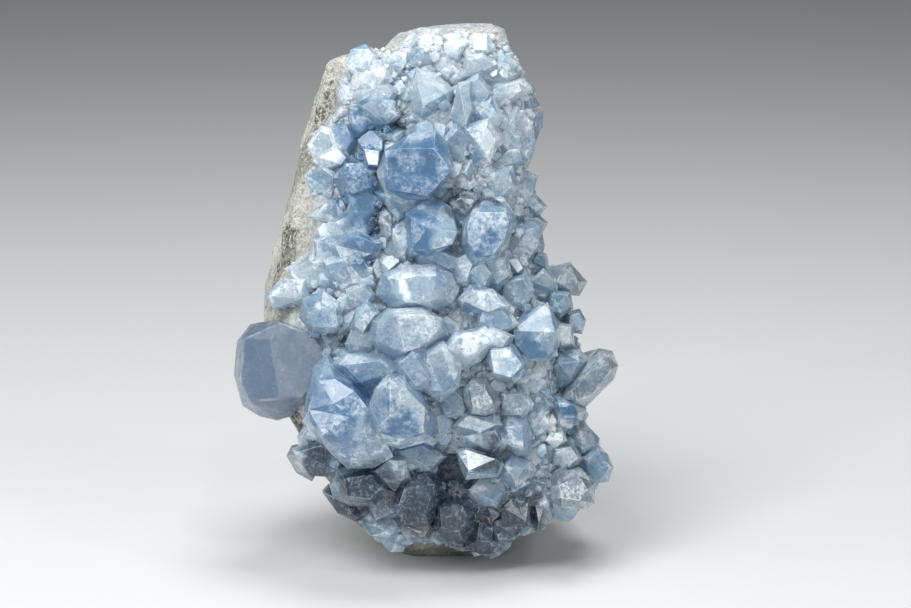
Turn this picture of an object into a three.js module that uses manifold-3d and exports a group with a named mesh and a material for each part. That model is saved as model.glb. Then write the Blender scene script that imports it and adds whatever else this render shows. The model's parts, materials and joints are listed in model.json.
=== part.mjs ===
// A celestite crystal cluster: a loose piece of pale host rock with a crust of sky-blue celestite
// grown over its front, its right side and the underside of its front. Millimetres, +Z up.
// X runs to the right, Y away from the viewer, and the origin is on the flat foot it stands on.
import * as THREE from "three";
import { ConvexGeometry } from "three/addons/geometries/ConvexGeometry.js";
import { mergeVertices } from "three/addons/utils/BufferGeometryUtils.js";
import Module from "manifold-3d";

const HEIGHT = 117; // of the rock, up the middle of its top
const TOP_SLOPE = 0.2; // rise of the top towards the right, per millimetre
const GAP = 0.3; // between solids that touch
const ROUND = 2.7; // squareness of the rock's level section, 2 is an ellipse
const ROCK_MESH = { segments: 20, rings: 12 };
const TOP_DOME = { rings: [0.72, 0.4, 0], rise: 2, lump: 0.8, across: 4 }; // rings as shares of its reach
const LUMPS = { coarse: { across: 12, rise: 1.2 }, fine: { across: 5, rise: 0.6 } };
const LEDGES = { across: [19, 14, 13], step: 1.5, steps: 1.6, behind: 2 }; // only at y beyond behind
const TABLE_TOP = 0.5; // no crystal reaches lower, so the rock alone meets the table

const ROOT_DEPTH = 4; // how deep a crystal's back reaches into the rock before it is cut
const ROOT_SIZE = 0.85; // of its outline
const SPLAY = 0.07; // how much crystals fan out, as a share of their distance from the heart
const HEART_V = 55; // where on the front the crystals stand straight out
const CROWDING = 1.3; // how far small crystals reach over their neighbours' edges
const GIRTH = { drawn: 0.45, plain: 0.6 }; // where a crystal is widest, as a share of its rise
const TIP_REACH = [0.74, 0.66, 0.7, 0.62]; // of each corner of a small crystal's front, towards its rim

// How far the rock reaches from the Z axis at each height: [height, reach].
const LEFT = [[0, 10], [5, 16.5], [11, 22.5], [18, 27], [25, 31.5], [36, 37.5], [48, 40.2], [57, 39.5],
  [72, 37], [85, 34], [97, 31.8], [108, 28.8], [117, 25]];
const RIGHT = [[0, 14], [5, 20], [9, 25], [14, 30.5], [19, 33.5], [26, 30.5], [35, 27.5], [50, 26.5],
  [60, 22.5], [70, 18.5], [85, 16], [97, 17], [108, 16], [117, 12]];
const FRONT = [[0, 8], [4, 13], [12, 21.5], [25, 25.5], [42, 27], [56, 24.5], [72, 20], [86, 16],
  [100, 12.5], [110, 9], [117, 6]];
const BACK = [[0, 24], [8, 29], [30, 34], [50, 34], [70, 30], [90, 24], [105, 18], [117, 12]];

// Flat faces where the back and the left side broke along the rock's grain: the direction each
// faces and how far it is from the origin.
const BROKEN_FACES = [
  { facing: [0.25, 0.95, 0.2], out: 40 },
  { facing: [-0.55, 0.82, 0.12], out: 44 },
  { facing: [0.75, 0.6, -0.25], out: 30 },
  { facing: [-0.2, 0.85, 0.5], out: 66 },
];

// Hollows weathered into the bare rock: degrees round from the front, height, and width.
const PITS = [[-135, 38, 17], [170, 56, 14], [-158, 84, 12], [146, 26, 15]];
const PIT_FORM = { deep: 0.35, tall: 0.7 }; // shares of its width

// The front view in which the crystals are placed: u to the right and v up, in millimetres on a
// plane through the aim. The foot's middle shows at u = 0, v = 0.
const EYE_DISTANCE = 573;
const EYE_TILT = THREE.MathUtils.degToRad(12);
const AIM = new THREE.Vector3(3.5, 0, 57.4);
const AIM_U = 3.5;
const AIM_V = 55;

const FOOT_MIDDLE = new THREE.Vector3(2, 8, 0); // moved to the origin when all is built

const TOWARDS_EYE = new THREE.Vector3(0, -Math.cos(EYE_TILT), Math.sin(EYE_TILT));
const VIEW_UP = new THREE.Vector3(0, Math.sin(EYE_TILT), Math.cos(EYE_TILT));
const EYE = AIM.clone().addScaledVector(TOWARDS_EYE, EYE_DISTANCE);

const wasm = await Module();
wasm.setup();

// Numbers from 0 to 1 that look random and are the same each time.
function seeded(seed) {
  let state = seed >>> 0;
  return () => {
    state = (state + 0x6d2b79f5) >>> 0;
    let t = Math.imul(state ^ (state >>> 15), state | 1);
    t ^= t + Math.imul(t ^ (t >>> 7), t | 61);
    return ((t ^ (t >>> 14)) >>> 0) / 4294967296;
  };
}

function between(low, high, share) {
  return low + (high - low) * share;
}

// The reach at a height, on a smooth curve through a profile's points.
function reach(profile, z) {
  const last = profile.length - 1;
  if (z <= profile[0][0]) return profile[0][1];
  if (z >= profile[last][0]) return profile[last][1];
  const i = profile.findIndex(([height]) => height > z) - 1;
  const [z0, r0] = profile[i];
  const [z1, r1] = profile[i + 1];
  const share = (z - z0) / (z1 - z0);
  return between(r0, r1, share * share * (3 - 2 * share) * 0.5 + share * 0.5);
}

// A number from -1 to 1 at each point of a lattice.
function lattice(x, y, z) {
  const h = Math.sin(x * 127.1 + y * 311.7 + z * 74.7) * 43758.5453;
  return (h - Math.floor(h)) * 2 - 1;
}

// Smooth lumps one unit across, from -1 to 1.
function lumps(x, y, z) {
  const [i, j, k] = [Math.floor(x), Math.floor(y), Math.floor(z)];
  const ease = (t) => t * t * (3 - 2 * t);
  const [a, b, c] = [ease(x - i), ease(y - j), ease(z - k)];
  const row = (dy, dz) => between(lattice(i, j + dy, k + dz), lattice(i + 1, j + dy, k + dz), a);
  return between(between(row(0, 0), row(1, 0), b), between(row(0, 1), row(1, 1), b), c);
}

// How far the rock's skin stands out from its plain form: lumps, and broken ledges at the back.
function relief(x, y, z) {
  const { coarse, fine } = LUMPS;
  const broad = coarse.rise * lumps(x / coarse.across, y / coarse.across, z / coarse.across);
  const small = fine.rise * lumps(x / fine.across, y / fine.across, z / fine.across + 9);
  const [wide, deep, tall] = LEDGES.across;
  const ledge = LEDGES.step * Math.round(LEDGES.steps * lumps(x / wide + 5, y / deep, z / tall + 3));
  return broad + small + (y > LEDGES.behind ? ledge : 0);
}

// The point of the plain rock at a height, in the level direction (across, away).
function rockPoint(across, away, z) {
  const power = 2 / ROUND;
  const reachX = reach(across > 0 ? RIGHT : LEFT, z);
  const reachY = reach(away > 0 ? BACK : FRONT, z);
  const x = Math.sign(across) * Math.abs(across) ** power * reachX;
  const y = Math.sign(away) * Math.abs(away) ** power * reachY;
  return new THREE.Vector3(x, y, z);
}

// The rock's closed skin, moved outwards by grow.
function rockSkin({ segments, rings }, grow) {
  const profile = [new THREE.Vector2(0, 0), new THREE.Vector2(0.999, 0)];
  for (let i = 1; i <= rings; i++) profile.push(new THREE.Vector2(1, i / rings));
  for (const ring of TOP_DOME.rings) profile.push(new THREE.Vector2(ring, 1));
  const skin = new THREE.LatheGeometry(profile, segments);
  const places = skin.getAttribute("position");
  for (let i = 0; i < places.count; i++) {
    const [across, share, near] = [places.getX(i), places.getY(i), places.getZ(i)];
    const ring = Math.hypot(across, near);
    const z = share * HEIGHT;
    const angle = Math.atan2(across, near);
    const p = rockPoint(Math.sin(angle), -Math.cos(angle), z);
    const level = Math.hypot(p.x, p.y);
    const stretch = (ring * (level + relief(p.x, p.y, z) + grow)) / level;
    const slope = TOP_SLOPE * p.x * ring * THREE.MathUtils.smoothstep(z, HEIGHT * 0.7, HEIGHT);
    const lump = TOP_DOME.lump * lumps(p.x * ring / TOP_DOME.across, p.y * ring / TOP_DOME.across, 1);
    const ends = share === 0 ? -grow : share < 1 ? 0 : TOP_DOME.rise * (1 - ring) + lump + grow;
    places.setXYZ(i, p.x * stretch, p.y * stretch, z + slope + ends);
  }
  return skin;
}

function solidOf(geometry) {
  const bare = new THREE.BufferGeometry();
  bare.setAttribute("position", geometry.getAttribute("position"));
  bare.setIndex(geometry.index);
  const welded = mergeVertices(bare, 1e-4);
  const index = Array.from(welded.index.array);
  const triangles = [];
  for (let i = 0; i < index.length; i += 3) {
    const [a, b, c] = index.slice(i, i + 3);
    if (a !== b && b !== c && c !== a) triangles.push(a, b, c);
  }
  return new wasm.Manifold(new wasm.Mesh({
    numProp: 3,
    vertProperties: welded.getAttribute("position").array,
    triVerts: new Uint32Array(triangles),
  }));
}

function geometryOf(solid) {
  const { vertProperties, triVerts } = solid.getMesh();
  const geometry = new THREE.BufferGeometry();
  geometry.setAttribute("position", new THREE.BufferAttribute(vertProperties, 3));
  geometry.setIndex(new THREE.BufferAttribute(triVerts, 1));
  geometry.computeVertexNormals();
  return geometry;
}

function joined(solids) {
  return solids.reduce((whole, solid) => whole.add(solid));
}

// The largest connected piece of a solid, with what booleans left loose dropped.
function mainPiece(solid) {
  return solid.decompose().reduce((a, b) => (a.volume() > b.volume() ? a : b));
}

function convex(points) {
  return solidOf(new ConvexGeometry(points));
}

// The rock with its broken faces, a little larger all round by grow.
function hostRock(grow) {
  const whole = solidOf(rockSkin(ROCK_MESH, grow));
  return BROKEN_FACES.reduce((left, { facing, out }) => {
    const inwards = new THREE.Vector3(...facing).normalize().negate();
    return left.trimByPlane(inwards.toArray(), -out - grow);
  }, whole);
}

// Where a level line towards the Z axis first meets a solid.
function surfaceAt(mesh, degrees, z) {
  const angle = THREE.MathUtils.degToRad(degrees);
  const out = new THREE.Vector3(Math.sin(angle), -Math.cos(angle), 0);
  const start = out.clone().multiplyScalar(100).setZ(z);
  return new THREE.Raycaster(start, out.negate()).intersectObject(mesh)[0].point;
}

function pitted(whole) {
  const mesh = new THREE.Mesh(geometryOf(whole));
  return PITS.reduce((left, [degrees, z, width], i) => {
    const { x, y } = surfaceAt(mesh, degrees, z);
    const pit = new THREE.IcosahedronGeometry(width / 2).rotateY(i).scale(1, PIT_FORM.deep, PIT_FORM.tall);
    return left.subtract(solidOf(pit.rotateZ(THREE.MathUtils.degToRad(degrees)).translate(x, y, z)));
  }, whole);
}

// The point that shows at u, v in the front view and lies h in front of the plane of the aim.
function seenAt(u, v, h) {
  const flat = AIM.clone().addScaledVector(VIEW_UP, v - AIM_V);
  flat.x += u - AIM_U;
  return EYE.clone().lerp(flat, (EYE_DISTANCE - h) / EYE_DISTANCE);
}

// How far the plain rock's front lies in front of the plane of the aim, at u, v.
function rockDepth(u, v) {
  let h = 15;
  for (let step = 0; step < 12; step++) {
    const p = seenAt(u, v, h);
    const side = Math.min(Math.abs(p.x) / reach(p.x > 0 ? RIGHT : LEFT, p.z), 0.97);
    const front = -reach(FRONT, p.z) * (1 - side ** ROUND) ** (1 / ROUND);
    h += 0.8 * (p.y - front);
  }
  return h;
}

function middleOf(rim) {
  const sum = rim.reduce(([a, b], [u, v]) => [a + u, b + v], [0, 0]);
  return [sum[0] / rim.length, sum[1] / rim.length];
}

// A crystal drawn by its rim in the front view. Its front faces, rise in front of the rock, have the
// crest's points [u, v, lift], where lift is how much nearer than that the point is; without a crest
// it has a small plain front. lean slopes it: how much nearer it comes per millimetre right and up.
// depth, where given, is how near its root is, in place of the rock's. grow makes a larger copy, for
// cutting.
function drawnCrystal({ rim, crest, rise, lean = [0, 0], depth }, grow = 0) {
  const [mu, mv] = middleOf(rim);
  const rock = depth ?? rockDepth(mu, mv);
  const slope = (u, v) => lean[0] * (u - mu) + lean[1] * (v - mv);
  const wider = ([u, v, lift = 0]) => {
    const size = (crest || depth ? 1 : CROWDING) + grow / (Math.hypot(u - mu, v - mv) || 1);
    return [mu + (u - mu) * size, mv + (v - mv) * size, lift];
  };
  const outline = rim.map(wider);
  const drawnIn = ([u, v], keep) => [mu + (u - mu) * keep, mv + (v - mv) * keep, 0];
  const corner = (i) => outline[Math.floor((i * outline.length) / TIP_REACH.length)];
  const face = crest ? crest.map(wider) : TIP_REACH.map((keep, i) => drawnIn(corner(i), keep));
  const girth = rock + rise * (crest ? GIRTH.drawn : GIRTH.plain);
  const side = outline.map(([u, v]) => seenAt(u, v, girth + slope(u, v)));
  const front = face.map(([u, v, lift]) => seenAt(u, v, rock + rise + lift + grow + slope(u, v)));
  const root = outline.filter((_, i) => i % 2 === 0).map((point) => {
    const [u, v] = drawnIn(point, ROOT_SIZE);
    return seenAt(u - mu * SPLAY, v - (mv - HEART_V) * SPLAY, rock - ROOT_DEPTH);
  });
  return convex([...side, ...front, ...root]);
}

// The faces of a small celestite crystal, in its own axes a, b, c: the dome {011}, the prism {210}
// that closes its tips and the flat {100}, with how far out each has grown. It grows longest along a.
const FORMS = [
  { facing: [0, 0.789, 0.615], out: [0.75, 1] },
  { facing: [0.788, 0.615, 0], out: [0.85, 1.1] },
  { facing: [1, 0, 0], out: [0.8, 1] },
];

function mirrored([a, b, c]) {
  const signs = (n) => (n === 0 ? [0] : [n, -n]);
  return signs(a).flatMap((x) => signs(b).flatMap((y) => signs(c).map((z) => [x, y, z])));
}

// The corners of the convex body inside a set of planes, each a direction and a distance.
function cornersWithin(planes) {
  const corners = [];
  const n = planes.length;
  for (let i = 0; i < n; i++) {
    for (let j = i + 1; j < n; j++) {
      for (let k = j + 1; k < n; k++) {
        const [p, q, r] = [planes[i], planes[j], planes[k]];
        const cross = q.normal.clone().cross(r.normal);
        const volume = p.normal.dot(cross);
        if (Math.abs(volume) < 1e-4) continue;
        const at = cross.multiplyScalar(p.distance)
          .addScaledVector(r.normal.clone().cross(p.normal), q.distance)
          .addScaledVector(p.normal.clone().cross(q.normal), r.distance)
          .divideScalar(volume);
        const inside = planes.every((m) => m.normal.dot(at) < m.distance + 1e-5);
        if (inside && corners.every((c) => c.distanceTo(at) > 0.02)) corners.push(at);
      }
    }
  }
  return corners;
}

// A celestite crystal of a given half width, longer along a, with unevenly grown faces.
function habitCrystal(size, long, random) {
  const planes = FORMS.flatMap(({ facing, out }) => mirrored(facing).map((direction) => {
    const normal = new THREE.Vector3(...direction);
    const distance = size * (between(...out, random()) + Math.abs(normal.x) * (long - 1));
    return { normal, distance };
  }));
  return cornersWithin(planes);
}

// A habit crystal set with its a axis along a direction, turned about it.
function setCrystal({ at, along, turn, size, long, random }) {
  const turned = new THREE.Quaternion().setFromUnitVectors(new THREE.Vector3(1, 0, 0), along);
  turned.multiply(new THREE.Quaternion().setFromAxisAngle(new THREE.Vector3(1, 0, 0), turn));
  const points = habitCrystal(size, long, random);
  return convex(points.map((p) => p.applyQuaternion(turned).add(at)));
}

// The crystals that stand clear of the others, each a piece of its own.
const LONE_CRYSTALS = {
  corner_crystal: { rise: 20, depth: 2, lean: [0.1, 0.02],
    rim: [[-46.7, 39], [-46, 46.5], [-43, 50.4], [-36.6, 51.7], [-28, 49], [-24.6, 43.5], [-26.5, 34],
      [-31, 30.4], [-37, 28.6], [-41, 29.6], [-44.8, 32]],
    crest: [[-44.2, 47.2, -0.8], [-38.4, 46.9, 0.6], [-36.4, 50.8, 0.3], [-29, 48.2, -0.4],
      [-25.8, 43.6, -0.6], [-28, 37.6, -0.3], [-31.4, 34, 0.1], [-36.4, 33.4, 0.6], [-43, 33, -1],
      [-45.3, 38, -1.4]] },
  spur_crystal: { rise: 11, depth: 9, lean: [-0.15, 0],
    rim: [[27.4, 33.5], [30.5, 39], [34.8, 43.6], [36, 45], [39, 44.4], [40.4, 41], [39.4, 38], [36.4, 35.2],
      [33, 31.6], [29, 31]],
    crest: [[30.5, 36], [36, 42.4], [37.8, 43.2], [38.4, 40], [34.5, 34.6], [31, 33.2]] },
  edge_crystal: { rise: 9, depth: 6, lean: [-0.1, 0.2],
    rim: [[24.6, 63.2], [29.3, 64.6], [33.4, 60], [31.6, 56.8], [27, 57.2], [24.6, 59.8]],
    crest: [[27.8, 62.8], [31.2, 60], [29.6, 58.2], [26.4, 60]] },
  drop_crystal: { rise: 8.5, lean: [0, -0.12],
    rim: [[5.1, 35.8], [7.4, 38.2], [10.4, 38.2], [12.2, 35.4], [13.9, 32.8], [12.6, 30.5], [10.4, 29.5],
      [7, 29.9], [5.1, 33]],
    crest: [[6.8, 35.8], [10, 36], [12, 32.8], [10.4, 31.1], [7.4, 31.4]] },
  low_left_crystal: { rise: 9, depth: 4, lean: [0.25, 0],
    rim: [[-34.8, 20.6], [-33.6, 23], [-30.6, 21.8], [-27.4, 17.6], [-29, 14.8], [-32.6, 16.8]],
    crest: [[-33, 20.8], [-30.6, 19.6], [-29.4, 17]] },
  low_right_crystal: { rise: 10, depth: 10, lean: [-0.2, 0],
    rim: [[24.5, 13.4], [26.4, 17.4], [32, 17.8], [35.2, 14.6], [35, 10], [33.2, 8.5], [27.4, 8.7],
      [24.9, 11]],
    crest: [[27, 14], [31.6, 16], [33.4, 13], [31.6, 10.4], [27.6, 11]] },
  toe_crystal: { rise: 7.5, lean: [0, 0.1],
    rim: [[-1.8, 4.6], [-1, 10], [2.4, 11.5], [5.8, 10.9], [8, 8], [7.4, 4.6], [5, 1.6], [1.6, 1.4]],
    crest: [[0, 8.8], [5, 9.4], [6.2, 6], [4.2, 3.4], [0.4, 4.4]] },
  tail_crystal: { rise: 7, lean: [-0.1, 0.15],
    rim: [[19.6, 10.6], [22, 12.7], [24.8, 10.8], [25.3, 6.8], [24, 4.9], [22, 2.9], [20.4, 5]],
    crest: [[21.4, 10.2], [23.6, 9.6], [22.4, 5.6]] },
};

// The crystals grown together, drawn by their rims: first those of the top.
const TOP_CRYSTALS = [
  { rise: 4, lean: [0.2, 0.1],
    rim: [[-20.6, 103.6], [-19.4, 108.2], [-16, 109.6], [-12, 109], [-10.8, 106], [-12.4, 102.6],
      [-16, 100.8]],
    crest: [[-18, 106], [-15.4, 107.8], [-12.8, 106], [-15, 103.4]] },
  { rise: 3, lean: [0, 0.25], rim: [[-8, 109], [-5, 112.6], [0, 113], [3, 110.8], [0, 107.8]] },
  { rise: 7, lean: [0.05, 0.05],
    rim: [[-7, 104], [-5.4, 108.4], [-1, 107.4], [3.2, 103.6], [2.4, 100], [-1, 98.2], [-4.4, 96.8],
      [-6.4, 99]],
    crest: [[-5.2, 105.4], [-2.8, 106], [1.2, 102.6], [-3.8, 99.8]] },
  { rise: 4, lean: [0.1, 0.2], rim: [[5.4, 107], [6.2, 110.6], [9.4, 111.2], [12.2, 108.6], [9, 105.6]] },
  { rise: 4, lean: [-0.1, 0.25],
    rim: [[10, 106.2], [13.6, 109.2], [16.6, 107], [15, 104.6], [11, 103.6]] },
  { rise: 3, lean: [0.1, 0.3], rim: [[-0.4, 108], [3, 109.4], [5.6, 106.8], [3.6, 104.4], [0.6, 105]] },
  { rise: 6, lean: [-0.2, -0.1],
    rim: [[10, 101.4], [13, 104.6], [18, 105.4], [19.3, 103.4], [13, 99.8]] },
  { rise: 8, depth: 2, lean: [-0.1, 0.1],
    rim: [[14.4, 99.6], [16.4, 103.4], [19.6, 104.8], [22.8, 99.9], [21.4, 97], [16, 96.6]],
    crest: [[16.6, 101.8], [19.6, 102.8], [20.6, 99.2], [17.2, 98.4]] },
  { rise: 5, lean: [0.15, -0.1],
    rim: [[6.2, 105], [8.6, 106.4], [11.4, 102.8], [9.4, 100], [6.6, 100.6]] },
  { rise: 7, lean: [-0.3, 0], rim: [[4.4, 104], [6.7, 104.4], [7.3, 99], [6, 94.9], [3, 98]] },
  { rise: 4.5, lean: [0.2, 0.15], rim: [[7, 100.8], [11.4, 101], [13.6, 97.4], [11.6, 94.6], [7.2, 95]] },
  { rise: 7, lean: [0.1, 0.1], rim: [[5.9, 94.6], [10.6, 95.8], [12.9, 92], [11, 88], [7.6, 87.2]] },
  { rise: 8, depth: 3, lean: [-0.1, 0.1],
    rim: [[12.4, 96.4], [15.4, 98.4], [18.6, 96.6], [16, 94], [12.8, 94]] },
  { rise: 9, depth: 3, lean: [-0.15, 0.05],
    rim: [[13.2, 92], [15.2, 95.8], [20.2, 95.4], [22, 92.4], [20.2, 89.2], [15, 88.8]],
    crest: [[15.4, 92.6], [19.2, 93.4], [19.6, 90.8], [16, 90.4]] },
  { rise: 5, lean: [-0.2, 0.2], rim: [[1.4, 92], [3.8, 95], [6.8, 93.2], [5.8, 88], [4, 86.2]] },
  { rise: 7, lean: [-0.25, -0.2],
    rim: [[10.8, 85.4], [15.6, 90.2], [18, 90.4], [19.3, 87.4], [15.6, 84.8]] },
  { rise: 6, lean: [0.1, 0.25], rim: [[10.4, 84.6], [15.8, 85.4], [16.9, 81.6], [14.4, 79], [10.6, 80]] },
  { rise: 8, depth: 3, lean: [-0.2, 0],
    rim: [[16.4, 84.4], [19.8, 84.4], [21.8, 80.2], [18.6, 76.8], [16.4, 79]] },
  { rise: 3, lean: [0.1, -0.1],
    rim: [[5.2, 83], [6.8, 85.1], [9.6, 85.2], [10.8, 83], [9.6, 80.3], [6.6, 80]],
    crest: [[7, 83.6], [9, 83.8], [8, 81.4]] },
  { rise: 3, lean: [0.1, 0.1], rim: [[-18, 103], [-13, 105], [-10.4, 102.8], [-13, 99], [-17, 99.2]] },
  { rise: 5, lean: [-0.1, 0.15],
    rim: [[-17.6, 100], [-14.4, 102], [-10.8, 100.4], [-9.6, 97.6], [-12, 95], [-16, 96.4]] },
  { rise: 4, lean: [0.2, 0],
    rim: [[-20.4, 99.2], [-17, 99.6], [-15.6, 96], [-18.4, 93.2], [-20.2, 95.4]] },
  { rise: 4, lean: [0.3, -0.1],
    rim: [[-24.6, 94.6], [-21, 95.6], [-19.6, 92], [-21.2, 89.4], [-23.9, 91]] },
  { rise: 4, lean: [0.25, 0.2],
    rim: [[-27.2, 88.4], [-23.4, 90.6], [-21, 88.2], [-22, 86.2], [-26.6, 86.2]] },
  { rise: 6, lean: [0.1, -0.2], rim: [[-17.3, 90.2], [-13.6, 89.8], [-14, 86.4], [-16.4, 86.2]] },
  { rise: 2.5, lean: [0.4, 0], rim: [[-29.4, 91], [-27, 94.6], [-24.4, 93.4], [-25, 89.6], [-28, 88]] },
  { rise: 3, lean: [0, 0.2], rim: [[-2.8, 97.2], [0.8, 99.8], [2.8, 97.4], [1.6, 94.8], [-2, 94.8]] },
  { rise: 2.5, lean: [0.1, 0.1], rim: [[-9.4, 96.4], [-6, 98.2], [-3.2, 96], [-5.6, 93.4], [-8.6, 94]] },
];

// Then those of the deep blue stretch above the middle.
const BLUE_CRYSTALS = [
  { rise: 11, lean: [0.06, 0.12],
    rim: [[-14.4, 85], [-12.6, 89.8], [-7, 93.5], [-1, 94.6], [1.6, 91.4], [3.4, 85.5], [-2.3, 78.4],
      [-8, 78.2], [-13, 79.8]],
    crest: [[-12.2, 87.4], [-9.4, 90.2], [-1.4, 90.2], [2.6, 85.2], [-2.9, 79.5], [-11.6, 81]] },
  { rise: 6, lean: [0.1, 0.3],
    rim: [[-24.2, 83.6], [-21.4, 87], [-17.4, 86.8], [-14.2, 83.6], [-14.2, 80], [-18, 78], [-22.6, 79.4]],
    crest: [[-21.6, 83.6], [-18, 85], [-15.8, 81.4], [-19.8, 80]] },
  { rise: 4.5, lean: [0, -0.2],
    rim: [[-20.6, 79.6], [-15.6, 80.6], [-12.8, 78.4], [-14.4, 75.6], [-19, 75]] },
  { rise: 3.5, lean: [0.35, 0.1],
    rim: [[-29, 75], [-26.6, 77.2], [-23.6, 78.6], [-22, 75.2], [-24.2, 73.4]] },
  { rise: 2.5, lean: [0.4, 0.1], rim: [[-30, 84], [-26.6, 86], [-24, 84], [-24.6, 80.4], [-28.8, 80.4]] },
  { rise: 5, lean: [-0.1, 0.1], rim: [[-13.6, 80], [-9, 80.4], [-4.8, 78.8], [-5.6, 76.2], [-10, 75.6]] },
  { rise: 11, lean: [-0.05, 0.05],
    rim: [[-7.9, 75.4], [-3.6, 78.4], [0.2, 78.6], [2.4, 77], [4.4, 71.2], [3.2, 68.2], [-3.6, 65],
      [-7.2, 65.8]],
    crest: [[-2.8, 72.2, 0.4], [3.8, 71.4, -0.8], [2.8, 68.6, -0.6], [-2.4, 67.2, 0.4],
      [-6.4, 67.2, -2.4], [-6.6, 74.6, -2.4]] },
  { rise: 11.5, lean: [-0.12, 0.04],
    rim: [[8, 78], [10.6, 79.4], [14.4, 79.2], [17.3, 75.2], [15.7, 69], [13.2, 65], [9.4, 64.6], [7.2, 62.4],
      [4.8, 68], [5, 73.4]],
    crest: [[8.8, 75.8], [14.8, 75.8], [15.6, 73.6], [14.4, 69.2], [12, 66.2], [8.6, 65.8], [6.4, 69],
      [6.3, 73.4]] },
  { rise: 6, lean: [0.1, 0.2], rim: [[2.2, 78], [4.6, 79.4], [8.2, 78.4], [6.2, 74.6], [3.6, 73]] },
  { rise: 6, depth: 5, lean: [-0.3, 0],
    rim: [[18, 78.8], [21, 80.6], [24.4, 77], [22.4, 75], [18.6, 75]] },
  { rise: 8, depth: 5, lean: [-0.1, 0.1],
    rim: [[15.4, 73], [17, 75.8], [20.2, 75.2], [19.6, 71.4], [16, 70.2]] },
  { rise: 6, depth: 5, lean: [-0.25, 0.1],
    rim: [[19, 75], [22.4, 75.2], [24.5, 73.4], [22.6, 70], [19.6, 70.6]] },
  { rise: 8, depth: 7, lean: [-0.2, 0.2],
    rim: [[15, 67.4], [15.8, 70.4], [20.4, 70], [22.4, 67.4], [18, 65]] },
  { rise: 7, depth: 6, lean: [-0.2, 0.1],
    rim: [[20.6, 64.6], [22.2, 67], [24.2, 66.4], [24.8, 62.8], [22, 61.8]] },
  { rise: 6, lean: [0, 0.25], rim: [[-24, 68.4], [-18.6, 70.8], [-14, 68.8], [-15, 66], [-21, 64.6]] },
  { rise: 5, lean: [0.1, 0.1],
    rim: [[-24, 73.4], [-19.4, 76.4], [-15.2, 74.8], [-15, 71], [-19.6, 69.6], [-23.4, 70.6]] },
  { rise: 4, lean: [0.3, 0.2], rim: [[-28, 69], [-24.2, 70], [-22.2, 66.4], [-24.2, 64], [-27.4, 65]] },
  { rise: 4, lean: [0.2, -0.1], rim: [[-10.8, 72], [-8, 73.2], [-6.8, 69], [-8, 65.4], [-10.2, 66.2]] },
  { rise: 6, lean: [0, 0.2], rim: [[-5, 66.4], [0.6, 67], [4.4, 65.4], [2.4, 62.6], [-3, 62.6]] },
];

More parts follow.
